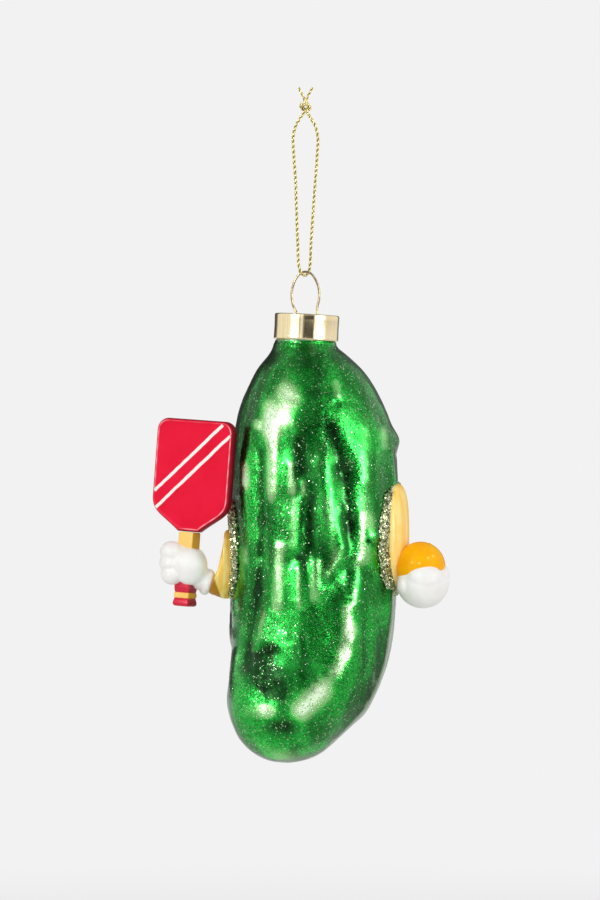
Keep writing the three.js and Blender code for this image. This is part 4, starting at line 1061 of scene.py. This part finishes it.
# rounded end of the cuff
for shrink, out in ((0.985, 0.12), (0.94, 0.22), (0.85, 0.28)):
    rings.append(endMiddle + (rings[sleeve["steps"]] - endMiddle) * shrink
                 + np.array([-out * 0.94, 0, -out * 0.3]))
sleeveMesh = ringSolid(rings)
# the painted shade lies within half a millimetre of the cuff
inwards = Vector((0.94, 0, 0.34))
sleeveMesh.attributes.new("cuff", "FLOAT", "POINT").data.foreach_set("value", [
    float(ease(-(vert.co / mm - Vector(endMiddle)).dot(inwards), -0.75, -0.35))
    for vert in sleeveMesh.vertices])
finishPiece("left_arm_sleeve", sleeveMesh, yellow, "pickle", ["left_arm"], None,
            sleeve["sharp"])


def softUnion(name, shells, voxel, smoothing, material, replaced):
    # one skin over overlapping rounds, with the creases between them kept shallow
    points, faces = joined(*shells)
    mesh = turnedOutwards(points, faces)
    work = bpy.data.objects.new(name + "_work", mesh)
    bpy.context.scene.collection.objects.link(work)
    remesh = work.modifiers.new("skin", "REMESH")
    remesh.mode, remesh.voxel_size, remesh.use_smooth_shade = "VOXEL", voxel * mm, True
    soften = work.modifiers.new("soften", "SMOOTH")
    soften.factor, soften.iterations = 0.5, smoothing
    bpy.context.view_layer.update()
    skin = bpy.data.meshes.new_from_object(work.evaluated_get(bpy.context.evaluated_depsgraph_get()))
    bpy.data.objects.remove(work)
    return finishPiece(name, skin, material, "pickle", replaced)


# Gloves: right, front and up from the middle, then half sizes, all in mm, with a lean in degrees
fistRounds = [
    (1.3, -1.3, -0.8, (3.9, 4.5, 5.0), 0),       # the hand behind the handle
    (0.6, 2.0, -0.8, (4.2, 3.6, 4.9), -6),       # palm over the handle
    (-2.0, 0.4, 0.0, (3.4, 4.4, 5.0), 0),
    (-4.0, 0.9, 2.9, (3.2, 3.9, 2.85), 0), (-4.5, 0.6, 0.0, (2.9, 4.0, 2.6), 0),    # three fingers
    (-3.9, 0.6, -2.8, (3.1, 3.9, 2.8), 0),
    (3.1, -0.3, -3.9, (2.9, 3.1, 3.0), 15),      # wrist
    (5.05, -0.4, -4.9, (1.95, 3.4, 3.5), 18),    # cuff
]
mittRounds = [
    (0.6, 0.5, -4.35, (6.75, 6.5, 6.45), 0),     # the hollow of the hand
    (0.9, 4.3, -2.7, (4.6, 3.2, 3.6), 0),        # fingers over the ball
    (-4.3, 2.2, -4.9, (1.9, 3.2, 2.7), 0), (6.3, 1.0, -3.1, (1.25, 2.4, 3.5), 0),
]
gloveSkin = 0.22                         # mm, how fine the gloves' skin is
for name, middle, rounds, smoothing, node in (
        ("left_glove_fist", fist, fistRounds, 10, "left_glove"),
        ("right_glove_mitt", ballMiddle, mittRounds, 14, "right_glove")):
    shells = [ellipsoid(middle + np.array([right, -front, up]), np.array(size), leanBy)
              for right, front, up, size, leanBy in rounds]
    softUnion(name, shells, gloveSkin, smoothing, white, [node])

ball = {
    "radius": 6.45,                      # mm, as are the sizes of the dots
    "dots": 14,
    "dotRadius": 0.36,
    "dotHeight": 0.12,
    "goldenTurn": 2.39996,               # radians from one spread dot to the next
    "apart": 0.38,                       # radians between spread dots
    "clear": 0.62,                       # radians kept clear round the four in front
}
ballMesh = bmesh.new()
bmesh.ops.create_icosphere(ballMesh, subdivisions=6, radius=1)
# four raised dots show in front, and the rest are spread evenly over the ball
shownDots = [(-0.37, -0.91, 0.18), (-0.065, -0.987, 0.146), (0.28, -0.887, 0.363), (0.49, -0.755, 0.435)]
spots = [Vector(d).normalized() for d in shownDots]
for i in range(ball["dots"]):
    z = 1 - 2 * (i + 0.5) / ball["dots"]
    ring = math.sqrt(1 - z * z)
    spot = Vector((ring * math.cos(ball["goldenTurn"] * i), ring * math.sin(ball["goldenTurn"] * i), z))
    farFromShown = all(spot.angle(other) > ball["clear"] for other in spots[:len(shownDots)])
    if farFromShown and all(spot.angle(other) > ball["apart"] for other in spots[len(shownDots):]):
        spots.append(spot)
dots = []
for vert in ballMesh.verts:
    out = vert.co.normalized()
    near = min(out.angle(spot) for spot in spots) * ball["radius"] / ball["dotRadius"]
    dots.append(math.exp(-near ** 4))
    vert.co = out * (ball["radius"] + ball["dotHeight"] * dots[-1]) * mm + Vector(ballMiddle * mm)
mesh = bpy.data.meshes.new("ball_dotted")
ballMesh.to_mesh(mesh)
ballMesh.free()
# the same share places the pale painted highlight on the dots
mesh.attributes.new("dots", "FLOAT", "POINT").data.foreach_set("value", dots)
finishPiece("ball_dotted", mesh, amber, "pickle", ["ball"])

# Glitter set in clear glue over the seams: hexagonal foil flakes about half a millimetre wide, at all angles
glitter = {
    "flake": 0.52,                       # mm across; the next two are in mm too
    "thick": 0.05,
    "spacing": 0.33,                     # from one flake to the next
    "sizes": (0.65, 1.15),               # smallest and largest flake as shares of the first number
    "lift": 0.05,                        # mm over the glue
    "lean": 0.4,                         # how far the flakes lean out of the glue's plane
    "patchSides": 150,
    "blunt": 0.72,                       # under one, the ends of a patch are blunter than an oval's
    "innerShare": 0.35,                  # size of the patch's innermost ring
}
# Clear glue, dark in the gaps between the flakes, with a lumpy skin
glue, tree, shader, coords = newMaterial("clear_glitter_glue", {"Metallic": 0.3, "Roughness": 0.3})
glueCells = addNode(tree, "ShaderNodeTexVoronoi", {"feature": "F1", "Scale": 1000 / 0.45},
                    {"Vector": coords})
glueTint = addNode(tree, "ShaderNodeValToRGB", {
    "stops": [(0.0, "121d10"), (0.55, "37482c"), (1.0, "8d9a6a")]}, {"Fac": glueCells.outputs["Color"]})
tree.links.new(glueTint.outputs["Color"], shader.inputs["Base Color"])
glueBump = addNode(tree, "ShaderNodeBump", {"Strength": 0.6, "Distance": 0.0002},
                   {"Height": glueCells.outputs["Distance"]})
tree.links.new(glueBump.outputs["Normal"], shader.inputs["Normal"])
# Cut foil: flat bright flakes, each its own pale gold, that flash where they face a light
foil, tree, shader, coords = newMaterial("cut_foil_glitter", {"Metallic": 0.9, "Roughness": 0.25})
foilCells = addNode(tree, "ShaderNodeTexVoronoi", {"feature": "F1", "Scale": 1000 / 0.7}, {"Vector": coords})
foilTint = addNode(tree, "ShaderNodeValToRGB", {
    "stops": [(0.1, "55643c"), (0.45, "bcc692"), (0.9, "fbf8de")]}, {"Fac": foilCells.outputs["Color"]})
tree.links.new(foilTint.outputs["Color"], shader.inputs["Base Color"])

# Patch under each arm: side, middle height, half height, then azimuth from the front and its half spread
# to the front and to the back in degrees, and how proud it stands
patches = {
    "right": (1, -110.8, 14.6, 86, 37, 14, 0.8),
    "left": (-1, -113.4, 12.8, 89, 21, 17, 0.7),
}
# Rings of a patch from its edge inwards: share of the size, share of the height
patchRings = [(1.0, -0.4), (0.99, 0.3), (0.95, 0.75), (0.88, 1.0), (0.78, 1.0), (0.66, 0.8), (0.5, 0.6),
              (glitter["innerShare"], 0.5)]
flakeDraw = random.Random(5)
hexagon = [(math.cos(a), math.sin(a)) for a in np.arange(6) * math.pi / 3]
ringMiddles = np.array([ring.mean(0) for ring in blown])
ringWide = np.array([np.ptp(ring[:, 0]) / 2 for ring in blown])


def onGlass(azimuth, z, proud):
    # a point on or over the pickle's smooth side
    middleX = np.interp(-z, -ringMiddles[:, 2], ringMiddles[:, 0])
    middleY = np.interp(-z, -ringMiddles[:, 2], ringMiddles[:, 1])
    wide = np.interp(-z, -ringMiddles[:, 2], ringWide)
    turned = math.radians(azimuth)
    out = np.array([math.sin(turned) * pickle["depthRatio"], -math.cos(turned), 0])
    out /= np.linalg.norm(out)
    place = np.array([middleX + wide * math.sin(turned),
                      middleY - wide * pickle["depthRatio"] * math.cos(turned), z])
    return place + out * proud


def flakesOn(mesh, name, outer):
    # foil flakes over the outer face of a patch, its first points, about as dense as they can lie
    mesh.calc_loop_triangles()
    co = np.array([v.co for v in mesh.vertices]) / mm
    points, faces = [], []
    for triangle in mesh.loop_triangles:
        if max(triangle.vertices) >= outer:
            continue
        a, b, c = (co[i] for i in triangle.vertices)
        cross = np.cross(b - a, c - a)
        area = np.linalg.norm(cross) / 2
        if area < 1e-6:
            continue
        normal = Vector(cross).normalized()
        wanted = area / glitter["spacing"] ** 2
        for _ in range(int(wanted) + (flakeDraw.random() < wanted - int(wanted))):
            u, v = flakeDraw.random(), flakeDraw.random()
            if u + v > 1:
                u, v = 1 - u, 1 - v
            middle = a + (b - a) * u + (c - a) * v
            tilt = Vector([flakeDraw.gauss(0, 1) for _ in range(3)]) * glitter["lean"]
            lie = (normal + tilt).normalized().to_track_quat("Z", "Y").to_matrix()
            size = glitter["flake"] / 2 * flakeDraw.uniform(*glitter["sizes"])
            spin = flakeDraw.uniform(0, math.pi)
            base = len(points)
            for level in (glitter["thick"] / 2, -glitter["thick"] / 2):
                for x, y in hexagon:
                    flat = Vector((x * math.cos(spin) - y * math.sin(spin),
                                   x * math.sin(spin) + y * math.cos(spin), 0))
                    flat *= size
                    flat.z = level
                    points.append(middle + np.array(lie @ flat) + np.array(normal) * glitter["lift"])
            faces.append(tuple(base + i for i in range(6)))
            faces.append(tuple(base + 11 - i for i in range(6)))
            faces += [(base + i, base + 6 + i, base + 6 + (i + 1) % 6, base + (i + 1) % 6) for i in range(6)]
    piece = meshPiece(name, points, faces, foil, "pickle")
    piece.data.shade_flat()


sides = glitter["patchSides"]
for name, (side, middleZ, halfHeight, azimuth, toFront, toBack, proud) in patches.items():
    rings = []
    for share, high in patchRings + [(glitter["innerShare"], -1.0), (1.0, -1.0)]:
        ring = []
        for angle in np.arange(sides) * 2 * math.pi / sides:
            # the edge of the glue wavers a little
            wobble = 1 + 0.02 * math.sin(7 * angle + side) + 0.015 * math.sin(17 * angle)
            blunt = math.copysign(abs(math.cos(angle)) ** glitter["blunt"], math.cos(angle))
            spread = (toFront if blunt > 0 else toBack) * blunt * share * wobble
            ring.append(onGlass(side * (azimuth - spread),
                                middleZ + halfHeight * math.sin(angle) * share * wobble,
                                high * proud))
        rings.append(np.array(ring))
    points = np.concatenate(rings)
    faces = gridFaces(len(rings), sides)
    lastRing = len(points) - sides
    faces += [(lastRing + s, lastRing + (s + 1) % sides, (s + 1) % sides, s) for s in range(sides)]
    patchPiece = finishPiece(name + "_glitter_glue", turnedOutwards(points, faces), glue,
                             "pickle",
                             [name + "_glitter_bead"])
    flakesOn(patchPiece.data, name + "_glitter_flakes", len(patchRings) * sides)
print("arms, gloves, ball and glitter made")


paddle = {
    "tilt": 4.2,                         # degrees in the front view
    "turn": -28,                         # degrees about its own length
    "halfWidth": 11.3,                   # mm, as are the rest
    "height": 29.1,
    "thickness": 2.8,
    "corner": 3.2,
    "shoulder": 8.8,                     # height of the slanting part below
    "foot": 8.2,                         # above the middle of the fist
    "throat": 3.1,
    "handle": 4.3,                       # width of the square handle
    "gripTop": -4.9,
    "gripLength": 6.3,
    "gripWidth": 4.6,
    "band": (2.7, 4.2),                  # from and to, below the top of the grip
    "bladeSharp": 40,                    # degrees
    "postSharp": 50,
}
paddlePlace = (Matrix.Translation(Vector(fist * mm)) @ Matrix.Rotation(math.radians(paddle["tilt"]), 4, "Y")
               @ Matrix.Rotation(math.radians(paddle["turn"]), 4, "Z"))


def bezier(a, b, c, d, steps):
    # a cubic curve from a to d, drawn towards b and c
    t = np.linspace(0, 1, steps)[:, None]
    a, b, c, d = (np.array(p, float) for p in (a, b, c, d))
    return (1 - t) ** 3 * a + 3 * (1 - t) ** 2 * t * b + 3 * (1 - t) * t ** 2 * c + t ** 3 * d


def bladeOutline():
    # the right half from the middle of the foot up and over, then its mirror
    w, foot, corner = paddle["halfWidth"], paddle["foot"], paddle["corner"]
    top, shoulder = foot + paddle["height"], paddle["foot"] + paddle["shoulder"]
    right = [np.array([[0, foot], [paddle["throat"] * 0.5, foot]])]
    right.append(bezier((paddle["throat"], foot), (w * 0.72, foot + paddle["shoulder"] * 0.45),
                        (w, foot + paddle["shoulder"] * 0.5), (w, shoulder), 30))
    right.append(np.stack([np.full(24, w), np.linspace(shoulder, top - corner, 26)[1:-1]], axis=1))
    arc = np.linspace(0, math.pi / 2, 16)
    right.append(np.stack([w - corner + corner * np.cos(arc), top - corner + corner * np.sin(arc)], axis=1))
    right.append(np.stack([np.linspace(w - corner, 0, 20)[1:], np.full(19, top)], axis=1))
    right = np.concatenate(right)
    left = right[1:-1][::-1] * np.array([-1, 1])
    return np.concatenate([right, left])


outline = bladeOutline()
ahead, behind = np.roll(outline, -1, axis=0), np.roll(outline, 1, axis=0)
along = ahead - behind
along /= np.linalg.norm(along, axis=1)[:, None]
inward = np.stack([-along[:, 1], along[:, 0]], axis=1)
face = paddle["thickness"] / 2
# inset from the outline and height of the face, out to the rounded rim: a low ridge runs just inside
# the edge
section = [(1.5, face - 0.12), (1.1, face - 0.12), (0.85, face - 0.03), (0.62, face), (0.42, face - 0.04),
           (0.22, face - 0.18), (0.07, face - 0.42), (0, face - 0.7), (0, 0.2)]
section += [(inset, -level) for inset, level in reversed(section[:-1])]
rings = [np.stack([outline[:, 0] + inward[:, 0] * inset, np.full(len(outline), -level),
                   outline[:, 1] + inward[:, 1] * inset], axis=1) for inset, level in section]
bladeMesh = ringSolid(rings)
# painted highlight on the ridge, mostly at the right and the left, and painted shade on the rounded edge
ridgeAt, edgeFrom = section[3][0], section[5][0]
rubbed, edged = [], []
for inset, level in section:
    for x, z in outline:
        sideShare = ease(x + 0.4 * (20 - z), 2, 6) * 0.9 + 0.7 * (x < -8) * (z > 18) + 0.15
        rubbed.append((inset == ridgeAt and level > 0) * min(sideShare, 1)
                      * (0.7 + 0.3 * math.sin(z * 1.7 + x)))
        edged.append(float(inset <= edgeFrom))
bladeMesh.attributes.new("rubbed", "FLOAT", "POINT").data.foreach_set("value", rubbed)
bladeMesh.attributes.new("edged", "FLOAT", "POINT").data.foreach_set("value", edged)

# Off-white stripes brushed across the front: ends and sizes in the blade's own millimetres
stripes = {
    "ends": [((8.1, 36.4), (-10.6, 18.2)), ((10.5, 33.7), (-10.0, 13.8))],
    "halfWidth": 0.42,
    "softEdge": 0.06,
    "wobble": 0.22,                      # how far the brush strays
    "frontFace": -1.1,                   # only paint in front of this is seen
}
# Brushed red enamel on the blade: even and satin, with the brush's faint unevenness
bladeRed, tree, redShader, redCoords, redTint = paintMaterial(
    "brushed_red_enamel_striped", ("de0c30", "e8163a"), {
        "Roughness": 0.42, "IOR": 1.5, "Specular IOR Level": 0.12}, 7, 1.1)
place = addNode(tree, "ShaderNodeSeparateXYZ", links={0: redCoords})
wobble = addNode(tree, "ShaderNodeTexNoise", {"Scale": 1000 / 3, "Detail": 2.0}, {"Vector": redCoords})
wobbleSize = addNode(tree, "ShaderNodeMapRange", {
    "To Min": -stripes["wobble"] * mm, "To Max": stripes["wobble"] * mm}, {"Value": wobble.outputs["Fac"]})
painted = None
for (x0, z0), (x1, z1) in stripes["ends"]:
    length = math.hypot(x1 - x0, z1 - z0)
    ux, uz = (x1 - x0) / length, (z1 - z0) / length
    # how far a point lies across the stripe and along it
    measures = []
    for wayX, wayZ in ((-uz, ux), (ux, uz)):
        sideways = addNode(tree, "ShaderNodeMath", {
            "operation": "MULTIPLY_ADD", 1: wayX, 2: -(x0 * wayX + z0 * wayZ) * mm}, {0: place.outputs["X"]})
        measures.append(addNode(tree, "ShaderNodeMath", {"operation": "MULTIPLY_ADD", 1: wayZ},
                                {0: place.outputs["Z"], 2: sideways}))
    across, alongIt = measures
    wavy = addNode(tree, "ShaderNodeMath", {"operation": "ADD"},
                   {0: across, 1: wobbleSize.outputs["Result"]})
    off = addNode(tree, "ShaderNodeMath", {"operation": "ABSOLUTE"}, {0: wavy})
    inWidth = addNode(tree, "ShaderNodeMapRange", {
        "From Min": (stripes["halfWidth"] - stripes["softEdge"]) * mm,
        "From Max": (stripes["halfWidth"] + stripes["softEdge"]) * mm, "To Min": 1.0, "To Max": 0.0},
                      {"Value": off})
    fromMiddle = addNode(tree, "ShaderNodeMath", {"operation": "SUBTRACT", 1: length / 2 * mm}, {0: alongIt})
    reachOut = addNode(tree, "ShaderNodeMath", {"operation": "ABSOLUTE"}, {0: fromMiddle})
    inLength = addNode(tree, "ShaderNodeMath", {"operation": "LESS_THAN", 1: length / 2 * mm}, {0: reachOut})
    one = addNode(tree, "ShaderNodeMath", {"operation": "MULTIPLY"},
                  {0: inWidth.outputs["Result"], 1: inLength})
    painted = one if painted is None else addNode(tree, "ShaderNodeMath", {"operation": "MAXIMUM"},
                                                  {0: painted, 1: one})
inFront = addNode(tree, "ShaderNodeMath", {"operation": "LESS_THAN", 1: stripes["frontFace"] * mm},
                  {0: place.outputs["Y"]})
painted = addNode(tree, "ShaderNodeMath", {"operation": "MULTIPLY"}, {0: painted, 1: inFront})
# painted highlight on the ridge and painted shade on the rounded edge, over the red and its stripes
worn = addNode(tree, "ShaderNodeAttribute", {"attribute_name": "rubbed"})
edgeCoat = addNode(tree, "ShaderNodeAttribute", {"attribute_name": "edged"})
laterCoats(tree, redShader, redTint.outputs["Color"],
           [(painted, "f6efec"), (worn.outputs["Fac"], "fcc0c6"), (edgeCoat.outputs["Fac"], "8c1428")])
finishPiece("paddle_blade_painted", bladeMesh, bladeRed, "pickle", ["paddle_blade"],
            paddlePlace, paddle["bladeSharp"])


def squarePost(levels, corner, material, name, replaced):
    # a post of rounded square section: height, half width and half depth of each level
    arc = np.linspace(0, math.pi / 2, 8)
    rings = []
    for z, halfX, halfY in levels:
        c = min(corner, halfX * 0.95, halfY * 0.95)
        ring = []
        for k, (sx, sy) in enumerate(((1, 1), (-1, 1), (-1, -1), (1, -1))):
            for a in arc + k * math.pi / 2:
                ring.append((sx * (halfX - c) + c * math.cos(a), sy * (halfY - c) + c * math.sin(a), z))
        rings.append(np.array(ring))
    return finishPiece(name, ringSolid(rings), material, "pickle", replaced, paddlePlace,
                       paddle["postSharp"])


half = paddle["handle"] / 2
squarePost([(paddle["gripTop"] + 0.35, half - 0.15, half - 0.15), (paddle["gripTop"] + 0.6, half, half),
            (0, half, half),
            (paddle["foot"] - 0.5, half, half), (paddle["foot"] - 0.15, half - 0.1, half - 0.1)], 0.4,
           gripYellow, "paddle_throat", ["paddle_handle"])
half, top, low = paddle["gripWidth"] / 2, paddle["gripTop"], paddle["gripTop"] - paddle["gripLength"]
bandTop, bandLow = top - paddle["band"][0], top - paddle["band"][1]
squarePost([(top + 0.6, half - 0.6, half - 0.6), (top + 0.3, half - 0.15, half - 0.15),
            (top - 0.2, half, half),
            (top - 1.6, half + 0.02, half + 0.02), (bandTop + 0.12, half - 0.12, half - 0.12),
            (bandTop - 0.1, half - 0.35, half - 0.35), (bandLow + 0.1, half - 0.35, half - 0.35),
            (bandLow - 0.12, half - 0.1, half - 0.1), (low + 0.9, half + 0.14, half + 0.14),
            (low + 0.4, half + 0.1, half + 0.1), (low + 0.1, half - 0.15, half - 0.15),
            (low, half - 0.5, half - 0.5)], 0.55, red, "paddle_grip_butt", ["paddle_grip"])
squarePost([(bandTop, half - 0.25, half - 0.25), (bandTop - 0.12, half - 0.05, half - 0.05),
            (bandTop - 0.75, half + 0.02, half + 0.02), (bandLow + 0.12, half - 0.05, half - 0.05),
            (bandLow, half - 0.25, half - 0.25)], 0.5, gripYellow, "grip_band_painted",
           ["grip_band"])
print("paddle made")
